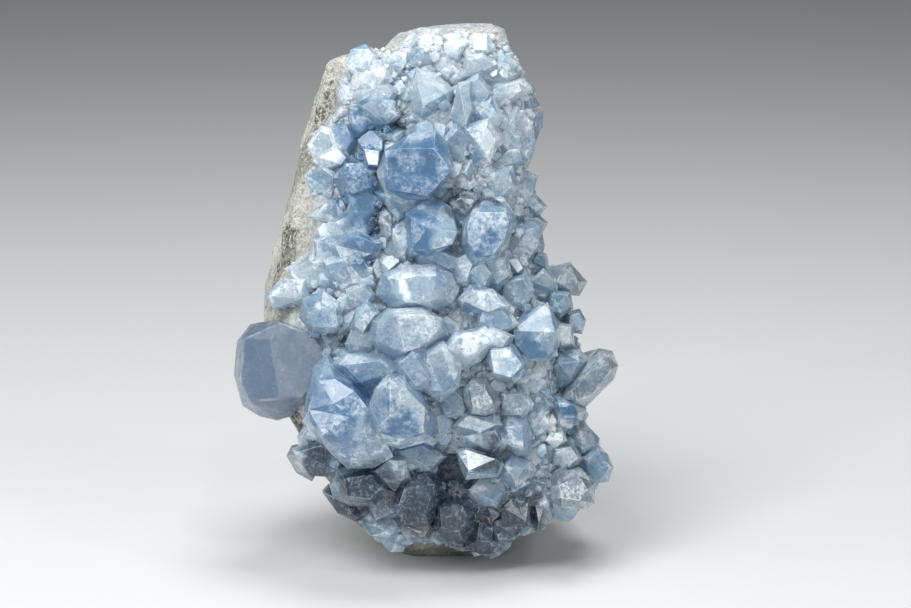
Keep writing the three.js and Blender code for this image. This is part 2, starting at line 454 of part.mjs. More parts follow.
// Those of the pale middle, out to both sides.
const MIDDLE_CRYSTALS = [
  { rise: 10, depth: 12, lean: [0.2, -0.3],
    rim: [[14.8, 65.6], [17.6, 66.2], [19.4, 63], [18, 61.2], [15.4, 61.6]] },
  { rise: 7, lean: [0, 0.2], rim: [[10.4, 64.8], [14.8, 65.4], [15.6, 61.4], [13, 58.8], [10.4, 60.6]] },
  { rise: 7, lean: [0.2, 0.1], rim: [[6.8, 62.4], [9.6, 65], [11.6, 62], [10.4, 58.8], [7, 59]] },
  { rise: 6, lean: [0.3, -0.1], rim: [[3.4, 65], [5.8, 66.8], [7.4, 64], [6.2, 59.8], [3.4, 60.4]] },
  { rise: 7.5, lean: [0.1, 0.25],
    rim: [[5, 55.8], [7.4, 58.6], [11.4, 57.8], [15, 54.6], [11, 52.6], [6, 53.8]] },
  { rise: 7, lean: [-0.1, 0], rim: [[14.6, 59.8], [19, 61.2], [20.6, 58], [18.8, 54.6], [14.8, 55.4]] },
  { rise: 9, depth: 9, lean: [-0.2, 0.1],
    rim: [[20.2, 60.4], [23.4, 63.2], [26.4, 61], [26.8, 57.2], [21.4, 56.6]] },
  { rise: 9, depth: 8, lean: [-0.2, 0.1],
    rim: [[24.8, 58.2], [29.6, 58], [30.2, 54], [27.2, 51.8], [24.6, 53.4]] },
  { rise: 8, depth: 6, lean: [-0.3, 0],
    rim: [[29, 53], [31.6, 54], [33.1, 51.4], [32.2, 48.2], [29, 48.6]] },
  { rise: 9, depth: 9, lean: [-0.2, 0], rim: [[26, 51], [30, 50.4], [30.6, 45.4], [26.8, 44.4]] },
  { rise: 10, lean: [0.04, 0.1],
    rim: [[-14.6, 57], [-13.4, 61.8], [-8, 63.9], [-1, 64], [2.8, 62], [4.4, 58], [2.6, 55], [-0.6, 53.4],
      [-6, 54.2], [-11, 54.2]],
    crest: [[-9.8, 60.4, -1.2], [-5.2, 61.4, 0.4], [-1, 61.4, 0.4], [2, 59.4, -1.2], [1, 56.4, -1.1],
      [-2.4, 55.7, 0.4], [-6.4, 55.6, 0.4], [-9, 57.4, -0.7]] },
  { rise: 12.5, lean: [-0.05, 0.16],
    rim: [[-16.4, 47], [-15.6, 51.4], [-12, 53.9], [-4, 54.4], [0.4, 52], [1.6, 48], [-1, 45.4], [-5, 43.6],
      [-10, 42.2], [-14, 44.4]],
    crest: [[-14, 50.8, -1.2], [-10, 52.6, 0.6], [-3, 52.6, -1.4], [0, 49.6, -2], [-4.6, 45.2, -0.4],
      [-8, 44.2, 0.6], [-14.6, 46.8, -1.8]] },
  { rise: 10, lean: [0.12, 0.06],
    rim: [[-32, 52], [-31, 56.4], [-26.4, 58.2], [-22.8, 55.4], [-21.8, 51], [-23.8, 48.4], [-29, 48.2]],
    crest: [[-30, 53.6], [-26.8, 55.4], [-23.6, 53.6], [-23.2, 50], [-28.8, 49.8]] },
  { rise: 5, lean: [0.4, 0.15],
    rim: [[-38.6, 56.8], [-36, 59.8], [-31, 60.2], [-30.6, 56], [-37, 54.6]] },
  { rise: 6, depth: 3, lean: [0.2, 0.2],
    rim: [[-40, 52], [-38.4, 55], [-34.6, 55.2], [-33.6, 51], [-39, 50]] },
  { rise: 3.5, lean: [0.4, 0],
    rim: [[-34, 62.8], [-29.6, 65.2], [-25.4, 63.6], [-26, 59.6], [-32, 59.2]] },
  { rise: 4, lean: [0.1, 0.2],
    rim: [[-25.8, 64], [-21.4, 65.6], [-19.8, 61.4], [-21.6, 56.4], [-25.8, 56.8]] },
  { rise: 5, lean: [0.2, 0],
    rim: [[-20.4, 64], [-17.2, 65.2], [-15.4, 62], [-16.8, 59.4], [-20.2, 60.2]] },
  { rise: 5, lean: [0.1, 0.1], rim: [[-20.6, 58], [-17, 59.6], [-15.2, 57], [-16.4, 54.6], [-20, 54.8]] },
  { rise: 8, lean: [0.35, 0.1],
    rim: [[-16.6, 55], [-14.4, 52.6], [-17.4, 48.4], [-19.8, 49.6], [-18.8, 53.4]] },
  { rise: 6, lean: [0.1, 0.2],
    rim: [[-20.8, 46], [-19.4, 49.2], [-16, 48.8], [-14.8, 44.8], [-19.4, 42.8]] },
  { rise: 9, lean: [-0.1, 0.3],
    rim: [[1.2, 44.6], [4, 47.8], [9.6, 48.8], [11.4, 46], [8.8, 42.8], [5, 41]] },
  { rise: 9, lean: [0, 0.4], rim: [[9.2, 48.6], [12.4, 49.2], [16, 47.6], [14.6, 45], [10.4, 45]] },
  { rise: 7, lean: [0.1, 0.1], rim: [[9.4, 53], [14.4, 53.8], [16.8, 50.6], [13.4, 48.2], [9.4, 49.6]] },
  { rise: 13, depth: 13, lean: [-0.08, 0.12],
    rim: [[15.2, 48.8], [19.4, 54.2], [24.4, 55.4], [27.1, 50.4], [27.1, 45.4], [24.2, 41.8], [19.8, 41.2],
      [15.8, 45]],
    crest: [[16.6, 49], [26, 48.7], [25.6, 44.4], [24, 42.8], [20.6, 42.4], [17.2, 45.8]] },
  { rise: 10, lean: [0.1, -0.05],
    rim: [[10.2, 42.4], [12, 46.4], [16.4, 46.4], [19.8, 41.6], [19.6, 38.4], [16.8, 36.9], [12.4, 38.2]],
    crest: [[11.4, 44.4], [16, 44.8], [18.6, 41.2], [16.2, 38.4], [12.2, 39.4]] },
];

// Those of the bulging lower half of the front.
const LOWER_CRYSTALS = [
  { rise: 14.5, lean: [0.04, 0.02],
    rim: [[-30, 36], [-28.8, 41], [-25.6, 43.2], [-21, 41], [-16.4, 35], [-13, 28], [-10.6, 20.4],
      [-15, 17.9], [-20.8, 17.6], [-24.4, 20.8], [-31.2, 28.4]],
    crest: [[-27.4, 37.6, -1.8], [-23.8, 38, -1.4], [-19.4, 35.2, 0], [-16.8, 32, 0], [-20.4, 29.4, 0.6],
      [-24, 32.4, 0.6], [-29.8, 31.2, -0.6], [-29.6, 28.4, -2], [-26.6, 25.4, -2], [-18.2, 24.4, -1.6],
      [-23.4, 21.6, -4.4]] },
  { rise: 12, lean: [-0.05, 0.2],
    rim: [[-25, 41.4], [-21, 43.8], [-13, 44], [-8.2, 41.4], [-10.4, 37], [-16, 35.2], [-22, 37]],
    crest: [[-21.6, 41.2], [-13.6, 42.2], [-11, 39.4], [-18, 37.4]] },
  { rise: 16.5, lean: [-0.02, 0.06],
    rim: [[-16.9, 32], [-15.4, 36], [-11.6, 40.4], [-8, 39.4], [-4, 34.6], [-0.8, 28.6], [-1, 24.3],
      [-9, 22.1], [-13.4, 23.6], [-16.6, 28]],
    crest: [[-14.8, 35.4, -2.3], [-11.3, 37.6, 0.3], [-7.6, 35.8, -0.6], [-3.4, 31.4, -1.6],
      [-3.8, 26, -1.5], [-9.4, 23.8, -3.5], [-13.9, 27.4, -1.6], [-15.8, 33, -3], [-11.4, 29.8, 0.3]] },
  { rise: 11, lean: [-0.1, 0.2],
    rim: [[-9.4, 41.6], [-6.4, 44.8], [-2.2, 44], [-2, 38], [-5.4, 35.6], [-9, 38]] },
  { rise: 10.5, lean: [-0.15, 0.2],
    rim: [[-3, 43.6], [0.6, 45.2], [3.9, 42], [3.6, 37], [0.2, 34.4], [-3, 36.4]] },
  { rise: 10, depth: 12, lean: [0, -0.1],
    rim: [[15.6, 37], [19.2, 41.2], [24.4, 41.8], [25.6, 37.4], [22.2, 33.4], [17, 34.6]] },
  { rise: 10, depth: 9, lean: [-0.2, 0.1],
    rim: [[24.6, 40.4], [27, 44.6], [31.6, 44.8], [34.4, 42], [32, 37], [26, 35.6]],
    crest: [[27, 41.6], [31.4, 42], [29.6, 38]] },
  { rise: 6, lean: [0.1, 0.1],
    rim: [[14.4, 34.4], [18.4, 35], [20.4, 32.4], [18.4, 29.4], [14.6, 30.4]] },
  { rise: 10, depth: 10, lean: [-0.1, -0.2],
    rim: [[24.6, 33.2], [27, 34.6], [30.6, 34.2], [33.2, 31.2], [32.2, 28.6], [29.6, 26.8], [26.6, 27]],
    crest: [[26.8, 32.6], [30.2, 32.2], [30.4, 29.4], [27.6, 29.2]] },
  { rise: 5.5, lean: [-0.2, 0.1], rim: [[19.8, 34.4], [23.4, 34.6], [25, 32], [23.4, 29.8], [20, 30.6]] },
  { rise: 5, lean: [-0.2, 0.1], rim: [[19.2, 30.4], [23.6, 30.8], [25.2, 27.2], [22, 24.6], [19.6, 26]] },
  { rise: 8.5, lean: [-0.1, 0.15],
    rim: [[13, 27.4], [15.6, 30.2], [19.6, 29.6], [21, 25], [20.4, 21], [17.4, 20.4], [14.2, 22.8]],
    crest: [[15, 27], [18.6, 27.6], [18.8, 22.8], [16, 23.4]] },
  { rise: 6.5, lean: [0.2, 0.2],
    rim: [[3.8, 27.4], [6, 30], [11.2, 30], [12.9, 27.6], [9.4, 25.6], [5.2, 25.8]] },
  { rise: 6.5, lean: [0.1, 0.3], rim: [[5.4, 25], [12.8, 26.8], [14.4, 23.4], [12, 20.6], [6.6, 22]] },
  { rise: 4.5, lean: [0.1, 0.1], rim: [[0.4, 33.4], [3.6, 35.4], [6, 33], [5, 30], [1.4, 30]] },
  { rise: 8, depth: 11, lean: [-0.1, 0.2],
    rim: [[23.2, 24], [24.8, 26.4], [28, 26.2], [29, 24], [26, 22.2]] },
  { rise: 8, depth: 9, lean: [-0.2, 0.1],
    rim: [[20.2, 23.4], [24.2, 23.8], [25.4, 19.2], [22.6, 17], [20.2, 19.4]] },
  { rise: 7, depth: 9, lean: [-0.2, 0.1],
    rim: [[25.6, 22.6], [30, 23.8], [32.4, 20], [29.6, 17], [25.4, 18.6]] },
  { rise: 6, depth: 7, lean: [-0.3, 0.1],
    rim: [[31, 27.4], [34.4, 26], [35.6, 22.6], [32, 21], [29.6, 23.6]] },
  { rise: 7, depth: 5, lean: [-0.3, 0.1],
    rim: [[32.4, 20], [35.4, 23.6], [38, 21], [39.3, 18], [38.2, 14.8], [34, 14]] },
  { rise: 10, lean: [0.1, -0.45],
    rim: [[3.4, 21.4], [5.4, 22.9], [13.6, 20.4], [14.6, 18.6], [13.2, 15.9], [5.8, 15.2], [4.3, 18.4]],
    crest: [[4, 21.2, -0.8], [5.8, 22, -0.8], [12.4, 19.9, 0], [6.5, 17.3, 0.8]] },
  { rise: 9.5, lean: [-0.1, 0.1],
    rim: [[13.2, 18], [16.4, 20.8], [20.6, 19.4], [21.6, 17], [17.2, 12.8], [14, 15]],
    crest: [[15.2, 18], [19, 17.8], [17, 14.8]] },
  { rise: 4.5, lean: [0, -0.1],
    rim: [[6.6, 13], [9, 16], [13.6, 15.6], [15, 12.6], [12, 10], [8.6, 10.4]] },
  { rise: 4, lean: [-0.1, -0.1], rim: [[15.4, 13.6], [20.6, 15.6], [24.4, 14.4], [24, 10.6], [17, 9.4]] },
  { rise: 7, lean: [-0.1, -0.15],
    rim: [[7.4, 5], [9.4, 7.4], [13.2, 7.3], [14.6, 4.6], [11.8, -1.5], [9.6, -1.8], [5.2, -0.4]],
    crest: [[9, 5.6], [12.4, 5.4], [11.4, 1.2], [8.4, 1.4]] },
  { rise: 5.5, lean: [0, 0.2], rim: [[14, 9], [16.6, 11.8], [20.2, 10], [20, 5.2], [14.6, 5]] },
  { rise: 7, lean: [-0.2, 0.1],
    rim: [[-9.4, 9.6], [-8.6, 13.6], [-4.6, 16.3], [-0.8, 14.6], [-1, 9], [-3, 6.2], [-7, 6.2]] },
  { rise: 6, lean: [0, -0.1], rim: [[-9, 5.2], [-5, 6.8], [-1.6, 5], [-3.2, 2], [-7, 2.2]] },
  { rise: 6, lean: [0.1, 0],
    rim: [[-17.8, 5.8], [-13, 9.8], [-9.6, 8.8], [-9.2, 4.4], [-11.6, 3], [-15, 3.3]] },
  { rise: 10.5, lean: [0.08, 0.05],
    rim: [[-25, 13.6], [-23.2, 17.8], [-17, 18.8], [-12, 17], [-11.2, 12.6], [-14.6, 9.2], [-20, 9.2],
      [-24.2, 11]],
    crest: [[-21.6, 15.4], [-15.4, 16.4], [-13.4, 13], [-16, 10.8], [-21, 11.4]] },
  { rise: 6, lean: [0.2, -0.1], rim: [[-25.3, 11.8], [-20, 11], [-15.4, 8.4], [-18.4, 5.9], [-22.6, 8]] },
  { rise: 8, lean: [0, 0.2], rim: [[-14.8, 17], [-12, 20], [-8.2, 19.6], [-7.4, 15.8], [-10.4, 13.6]] },
  { rise: 5.5, lean: [0, 0.1], rim: [[-9.6, 21.6], [-4, 23.2], [0.2, 20.4], [-2.6, 17.8], [-7.4, 19]] },
  { rise: 6, lean: [0.15, 0.1], rim: [[-32, 21.6], [-27, 23.4], [-22.4, 21], [-23, 16.6], [-29, 17]] },
  { rise: 7, depth: 10, lean: [0.3, 0],
    rim: [[-32.4, 25], [-29.6, 29.4], [-25, 27], [-24.6, 22.4], [-31.6, 22]] },
  { rise: 6, lean: [0.1, 0.1], rim: [[-16.4, 11], [-13, 13.8], [-8.4, 11.8], [-9.4, 7.6], [-14, 7]] },
  { rise: 5, lean: [0, 0.1], rim: [[12.4, 5.4], [16, 8.4], [18.8, 6], [16.6, 2.4], [13, 2.6]] },
];

const GROWN_TOGETHER = [...TOP_CRYSTALS, ...BLUE_CRYSTALS, ...MIDDLE_CRYSTALS, ...LOWER_CRYSTALS];

// The crystals that cover the right side, set in rows up the rock: their directions in degrees from
// the front, half widths, lengths as a share of the width, and how far each may stray. fan is how
// far they turn to the right and up the rock, as shares of their place.
const SIDE_ROWS = {
  seed: 1, bottom: 24, top: 104, rise: 12, angles: [66, 88], size: [4.2, 5.6], long: [0.95, 1.1],
  stray: { degrees: 5, height: 2.4, tilt: 0.5 }, fan: [0.7, 0.2],
};

function sideCrystals({ seed, bottom, top, rise, angles, size, long, stray, fan }) {
  const random = seeded(seed);
  const within = (most) => between(-most, most, random());
  const crystals = [];
  for (let row = bottom; row <= top; row += rise) {
    for (const degrees of angles) {
      const angle = THREE.MathUtils.degToRad(degrees + within(stray.degrees));
      const z = row + within(stray.height);
      const at = rockPoint(Math.sin(angle), -Math.cos(angle), z);
      const outwards = new THREE.Vector3(at.x * fan[0], at.y, (z - HEART_V) * fan[1]).normalize();
      const tilt = new THREE.Vector3(within(stray.tilt), within(stray.tilt), within(stray.tilt));
      crystals.push(setCrystal({
        at,
        along: outwards.add(tilt).normalize(),
        turn: random() * Math.PI,
        size: between(...size, random()),
        long: between(...long, random()),
        random,
      }));
    }
  }
  return crystals;
}

function material(color, roughness) {
  return new THREE.MeshStandardMaterial({ color, roughness, metalness: 0 });
}

const ROCK_FINISH = material(0xd6d3c6, 0.95);
const CELESTITE_FINISH = material(0x9db9d8, 0.25);

const cluster = new THREE.Group();

function addPiece(name, solid, finish) {
  const piece = new THREE.Mesh(geometryOf(solid.translate(FOOT_MIDDLE.clone().negate().toArray())), finish);
  piece.name = name;
  cluster.add(piece);
}

const rock = pitted(hostRock(0));
const rockAndGap = hostRock(GAP);
const table = solidOf(new THREE.BoxGeometry(200, 200, 40).translate(0, 0, TABLE_TOP - 20));

addPiece("host_rock", rock, ROCK_FINISH);

const loneSolids = Object.entries(LONE_CRYSTALS).map(([name, shape]) => {
  const solid = mainPiece(drawnCrystal(shape).subtract(rockAndGap).subtract(table));
  return { name, shape, solid };
});
loneSolids.forEach(({ name, solid }) => addPiece(name, solid, CELESTITE_FINISH));

const drawn = GROWN_TOGETHER.map((shape) => drawnCrystal(shape));
const grown = joined([...drawn, ...sideCrystals(SIDE_ROWS)]);
const sockets = joined(loneSolids.map(({ shape }) => drawnCrystal(shape, GAP)));
const crust = grown.subtract(rockAndGap).subtract(sockets).subtract(table);
addPiece("crystal_crust", mainPiece(crust), CELESTITE_FINISH);

export default cluster;
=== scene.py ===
"""A celestite crystal cluster: pale host rock with a crust of sky-blue crystals over its front.

The CAD model gives the rock and the larger crystals. This script finishes their surfaces, grows the
smaller crystals that fill the spaces between them, and gives everything its material.
"""
import json
import math
import random
from types import SimpleNamespace

import bmesh
import bpy
import numpy as np
from mathutils import Matrix, Vector
from mathutils.bvhtree import BVHTree

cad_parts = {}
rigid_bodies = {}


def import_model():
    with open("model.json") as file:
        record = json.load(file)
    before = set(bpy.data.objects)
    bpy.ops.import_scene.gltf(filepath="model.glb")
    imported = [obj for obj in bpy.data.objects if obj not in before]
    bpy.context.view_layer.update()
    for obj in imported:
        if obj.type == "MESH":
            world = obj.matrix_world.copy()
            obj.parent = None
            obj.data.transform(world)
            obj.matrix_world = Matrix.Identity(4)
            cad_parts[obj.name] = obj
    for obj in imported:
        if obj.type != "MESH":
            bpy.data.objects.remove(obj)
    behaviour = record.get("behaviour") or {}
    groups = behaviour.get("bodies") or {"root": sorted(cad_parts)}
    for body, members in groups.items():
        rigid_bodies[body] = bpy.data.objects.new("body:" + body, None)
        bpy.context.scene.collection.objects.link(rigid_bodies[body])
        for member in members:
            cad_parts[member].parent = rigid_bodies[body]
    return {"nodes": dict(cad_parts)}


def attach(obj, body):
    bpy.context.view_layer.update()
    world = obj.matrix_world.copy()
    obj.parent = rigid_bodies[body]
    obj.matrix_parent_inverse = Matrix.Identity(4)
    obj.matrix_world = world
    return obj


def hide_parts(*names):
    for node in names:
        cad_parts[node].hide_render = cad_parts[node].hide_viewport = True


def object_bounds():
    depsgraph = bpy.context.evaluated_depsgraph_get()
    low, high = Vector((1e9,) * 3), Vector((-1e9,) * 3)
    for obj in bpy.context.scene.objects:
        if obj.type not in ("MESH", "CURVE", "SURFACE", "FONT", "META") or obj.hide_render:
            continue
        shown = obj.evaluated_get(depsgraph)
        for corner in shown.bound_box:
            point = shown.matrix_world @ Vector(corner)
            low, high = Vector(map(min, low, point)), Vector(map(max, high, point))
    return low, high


MM = 0.001

# The view of the photograph: what the camera aims at, how far away it is, its tilt down and its lens.
AIM = Vector((1.5, -8, 57.4)) * MM
CAMERA_DISTANCE = 573 * MM
CAMERA_TILT = math.radians(12)
CAMERA_LENS = 100
# Where the aim is in the front view, whose u runs to the right and v up, in millimetres.
AIM_U = 3.5
AIM_V = 55

# The rock's surface. A pair of values is where a change begins and where it is complete.
ROCK_GRAIN = 0.9 * MM  # the size of its mesh
BED_REACH = (2 * MM, 5 * MM)  # the sugary bed ends this far from the crystals
BED_HEIGHT = 1.7  # how far the bed stands out, in millimetres
BED_LUMPS = 0.5  # how much its lumps add to that or take away
BARE_SIDE = (-0.75, -0.4)  # rock that faces further left than this is bare
BORDER_SHIFT = 3 * MM  # how far the border of the sugared top wanders
BORDER_SEEDS = (9.1, 12.7, 15.3)
SUGARED_BACK = (4 * MM, 13 * MM)  # how far back the sugared top ends
BROKEN_BACK = (0, 12 * MM)  # how far back the broken ledges start
CRAGGY_TOP = (95 * MM, 110 * MM)  # the height at which the crags start
FOOT_EDGE = (0.2 * MM, 5 * MM)  # below this height the rock keeps the solid's shape
HOLLOW_DEPTH = 3 * MM

# The crystals
FLAT_FACES = 2.5  # a crystal's faces less than this many degrees apart are one face
LONE_CRYSTALS = ("corner_crystal", "spur_crystal", "edge_crystal", "drop_crystal", "low_left_crystal",
                 "low_right_crystal", "toe_crystal", "tail_crystal")
# Faces with a tone above MILKIEST are painted white as a glint.
MILKIEST = 1.0  # the tones of the faces run from 0, clear, to this, and those of white faces go on from it
CORNER_FRONT = 0.29  # the tone of the faces at the corner block's front
CORNER_SIDES = 0.1  # and of its other faces
SMALL_SHAPES = 8  # how many shapes the small crystals have
# The faces of a small crystal: where they face, and the nearest and furthest they are from its middle.
SMALL_FACES = (
    ([(0, s * 0.789, t * 0.615) for s in (1, -1) for t in (1, -1)], 0.34, 0.52),
    ([(s * 0.788, t * 0.615, 0) for s in (1, -1) for t in (1, -1)], 0.45, 0.62),
    ([(0, 0, 1), (0, 0, -1)], 0.28, 0.5),
    ([(1, 0, 0), (-1, 0, 0)], 0.34, 0.5),
)

# Round patches of the materials, by where they show in the front view: u, v, radius.
DEEP_PATCHES = [(-5, 86, 12), (-19, 81, 9), (-18, 68, 6), (-6, 70, 8), (-38, 41, 15), (-23, 31, 12),
                (-8, 29, 5), (21, 43.5, 4.5), (12, 69, 3.5), (-17, 94, 8), (-7, 47, 5), (30, 32, 5),
                (-14, 76, 6)]
PALE_PATCHES = [(5, 112, 14), (17, 101, 9), (-27, 90, 7), (-16, 106, 9), (-7, 57, 9), (-5, 50, 8),
                (8, 44, 10), (-29, 27, 5), (27, 47, 5), (-30, 60, 7), (-18, 27, 4), (13, 92, 7),
                (-37, 57, 8), (23, 52, 4), (-5, 104, 8), (-33, 76, 9), (27, 70, 8)]
# Painted shade: the lower part of the crust and a few recesses are painted dark as their shade.
PAINTED_SHADE_PATCHES = [(3, 15, 9), (8, 5, 13), (18, 7, 9), (-5, 8, 13), (11, 21, 6), (4, 79.5, 5.5),
                (11, 79, 4), (-18, 14, 9), (-20, 9, 10), (-28, 19, 7), (3, 3, 13), (-23.5, 45, 5),
                (-10, 96, 4.5), (-14, 73, 3.5), (27, 8, 6)]
SUGARY_PATCHES = [(5, 116, 10), (-10, 113, 9), (19, 110, 9), (-8, 58, 3), (-3, 54, 3.5),
                  (6.5, 47.5, 4.5), (11.5, 56.5, 4), (-34, 76, 8), (-30, 98, 8), (-37, 61, 6),
                  (26, 27, 5), (24, 84, 7)]
EARTH_PATCHES = [(29, 20, 7), (5, 50, 5), (3, 35, 6), (-13, 73, 5), (-10, 96, 5), (8, 80, 5)]
STAINS = [(-27.5, 107, 9), (-26, 100, 6), (-35, 69, 9), (-38, 60, 8), (-33, 27, 8), (33, 22, 9),
          (-33, 90, 5), (-40, 50, 7)]
PATCH_CORE = 0.45  # the share of its radius within which a patch is full
# Round places on the rock: u, v, how near the viewer, radius. The hollows are sunk into it and painted
# dark with shade.
HOLLOWS = [(3.5, 16.5, 22, 8), (3.5, 80, 16, 4), (3, 32, 24, 3), (8, 12, 20, 3.5)]
SUGARED_TOP = [(2, 113, 0, 16), (12, 113, 0, 16), (19, 108, 0, 13)]
# Faces painted white as a glint, a light's reflection, by where they show in the front view: u, v, how
# white.
PAINTED_GLINT_FACES = {"crystal_crust": [(7.5, 20, 0.75), (-24.5, 89, 0.7), (-15.5, 88, 0.5), (-21, 67.5, 0.6),
                                 (18, 64, 0.7), (-28, 28, 0.45), (16.5, 9, 0.4)],
               "tail_crystal": [(22, 9, 0.5)]}

# The scales of the noises in the materials: the higher, the finer.
WARP = 170.0
TINTS = 130
ETCHING = 150
VEILS = 260
SHARDS = 300.0
WEAR = 300
BLOTCHES = 600
GRAINS = 1400
ROCK_STAINS = 60
ROCK_TINTS = 90
ROCK_MOTTLE = 420
ROCK_SUGAR = 600
ROCK_SPECKS = 1100
ROCK_FLECKS = 1400
ROCK_GRAINS = 2000.0

# The crystals' material
CRYSTAL_IOR = 1.62
GLOW = 0.7  # the share of light that is scattered inside
GLOW_DEPTH = 2.5 * MM
ETCH_DEPTH = 0.4 * MM
CREVICE_REACH = 4 * MM

# The room: each light's place and aim, its size across in metres and its power in watts.
LIGHTS = {"key": ((-0.3, -0.5, 0.75), (0, 0, 0.06), 0.5, 5.7),
          "glint_0": ((0.16, -0.5, 0.7), (0, 0, 0.06), 0.06, 0.45),
          "glint_1": ((-0.45, -0.6, 0.45), (0, 0, 0.06), 0.06, 0.45),
          "glint_2": ((0.5, -0.4, 0.6), (0, 0, 0.06), 0.06, 0.45),
          "glint_3": ((-0.1, -0.75, 0.25), (0, 0, 0.06), 0.06, 0.45),
          "fill": ((0.6, -0.7, 0.3), (0, 0, 0.05), 0.4, 1.0),
          "side": ((-0.7, -0.25, 0.35), (0, 0, 0.07), 0.4, 1.0),
          "top": ((0.08, -0.02, 0.85), (0, 0, 0.08), 0.4, 3.2)}
SKY_STRENGTH = 0.2
FLOOR_SIZE = 4


def colour(red, green, blue):
    return (red, green, blue, 1)


ICE = colour(0.66, 0.82, 0.93)
SKY = colour(0.42, 0.65, 0.85)
DEEP = colour(0.11, 0.29, 0.52)
MILK = colour(0.78, 0.87, 0.93)
FROST = colour(0.94, 0.96, 0.97)
SUGAR = colour(0.8, 0.83, 0.83)
# The dark blue of painted shade.
PAINTED_SHADE_BLUE = colour(0.025, 0.055, 0.095)
# The two colours between which a crystal's body varies, and the one that its depths turn to.
SKY_BLUE = (SKY, ICE, DEEP)
LAVENDER = (colour(0.19, 0.27, 0.37), colour(0.33, 0.41, 0.51), colour(0.15, 0.22, 0.32))
GREY_BLUE = (colour(0.29, 0.37, 0.42), colour(0.46, 0.53, 0.56), colour(0.19, 0.27, 0.35))
GREY_CHALK = colour(0.46, 0.46, 0.4)
CREAM_CHALK = colour(0.76, 0.75, 0.69)
WHITE_GRAIN = colour(0.9, 0.9, 0.87)
DARK_GRAIN = colour(0.2, 0.21, 0.16)
FLECK = colour(0.17, 0.18, 0.14)
STAIN = colour(0.07, 0.08, 0.05)
BLUE_SUGAR = colour(0.36, 0.43, 0.48)
WHITE_SUGAR = colour(0.76, 0.79, 0.81)
EARTH = colour(0.2, 0.16, 0.11)
# The dark grey of the painted shade at the rock's foot.
PAINTED_FOOT_SHADE = colour(0.12, 0.12, 0.11)


# Places in the front view

def towards_camera():
    return Vector((0, -math.cos(CAMERA_TILT), math.sin(CAMERA_TILT)))


def seen_at(u, v, near):
    """The place that shows at u, v in the front view, near millimetres in front of the aim."""
    up = Vector((0, math.sin(CAMERA_TILT), math.cos(CAMERA_TILT)))
    flat = AIM + ((u - AIM_U) * Vector((1, 0, 0)) + (v - AIM_V) * up) * MM
    eye = AIM + towards_camera() * CAMERA_DISTANCE
    return eye.lerp(flat, 1 - near * MM / CAMERA_DISTANCE)


def shape_of(data):
    """A mesh's surface, for rays and distances."""
    places = [vertex.co for vertex in data.vertices]
    return BVHTree.FromPolygons(places, [tuple(polygon.vertices) for polygon in data.polygons])


def front_shape():
    """All of the CAD's surfaces as one, for rays."""
    vertices, polygons = [], []
    for node in frame["nodes"].values():
        first = len(vertices)
        vertices += [vertex.co for vertex in node.data.vertices]
        polygons += [[first + i for i in polygon.vertices] for polygon in node.data.polygons]
    return BVHTree.FromPolygons(vertices, polygons)


def hit_at(shape, u, v):
    """What the sight line through u, v in the front view meets first: place, normal, face, distance."""
    eye = seen_at(u, v, CAMERA_DISTANCE / MM)
    return shape.ray_cast(eye, seen_at(u, v, 0) - eye)


def place_seen_at(shape, u, v):
    """The place on the shape that shows at u, v, or the nearest one where nothing shows."""
    return hit_at(shape, u, v)[0] or shape.find_nearest(seen_at(u, v, 0))[0]


# Noise for shaping surfaces

def smooth_step(low, high, value):
    share = np.clip((value - low) / (high - low), 0, 1)
    return share * share * (3 - 2 * share)


def lattice(cells):
    """A number from -1 to 1 for each whole cell, the same one every time."""
    wave = np.sin(cells @ np.array((127.1, 311.7, 74.7))) * 43758.5453
    return (wave - np.floor(wave)) * 2 - 1


def lumps(points, size, seed=0.0):
    """Smooth lumps of a size, from -1 to 1, at each point."""
    scaled = points / size + seed
    cell = np.floor(scaled)
    ease = scaled - cell
    ease = ease * ease * (3 - 2 * ease)
    total = np.zeros(len(points))
    for corner in np.ndindex(2, 2, 2):
        weight = np.prod(np.where(np.array(corner) == 1, ease, 1 - ease), axis=1)
        total += weight * lattice(cell + corner)
    return total


# Meshes

def plain_data(mesh, name):
    """The editable mesh as mesh data."""
    data = bpy.data.meshes.new(name)
    mesh.to_mesh(data)
    mesh.free()
    return data


def placed(name, data):
    """A new object in the scene."""
    thing = bpy.data.objects.new(name, data)
    bpy.context.scene.collection.objects.link(thing)
    return thing


def merged_copy(node_name, flatten=0.0):
    """A new mesh with the node's shape, its loose triangles joined and flat ones made one face."""
    mesh = bmesh.new()
    mesh.from_mesh(frame["nodes"][node_name].data)
    bmesh.ops.remove_doubles(mesh, verts=mesh.verts, dist=1e-6)
    if flatten:
        limit = math.radians(flatten)
        bmesh.ops.dissolve_limit(mesh, angle_limit=limit, verts=mesh.verts, edges=mesh.edges)
    return plain_data(mesh, node_name + "_surface")


def joined_copy(name, pieces):
    """One object with the shape of several pieces, for measuring against."""
    mesh = bmesh.new()
    for piece in pieces:
        mesh.from_mesh(piece.data)
    return placed(name, plain_data(mesh, name))


def dress(data, finish, smooth=False):
    data.materials.clear()
    data.materials.append(finish)
    data.polygons.foreach_set("use_smooth", [smooth] * len(data.polygons))


def new_piece(name, data, finish):
    piece = placed(name, data)
    dress(data, finish)
    return piece


def applied(piece):
    """The piece's mesh with its modifiers applied, as plain mesh data."""
    depsgraph = bpy.context.evaluated_depsgraph_get()
    data = bpy.data.meshes.new_from_object(piece.evaluated_get(depsgraph))
    piece.modifiers.clear()
    return data


def vertex_places(data):
    places = np.empty(len(data.vertices) * 3)
    data.vertices.foreach_get("co", places)
    return places.reshape(-1, 3)


def vertex_normals(data):
    normals = np.empty(len(data.vertices) * 3, dtype=np.float32)
    data.vertex_normals.foreach_get("vector", normals)
    return normals.reshape(-1, 3).astype(float)


def store(data, name, values, domain="POINT"):
    attribute = data.attributes.new(name, "FLOAT", domain)
    attribute.data.foreach_set("value", np.array(values).astype(np.float32))


# Node trees

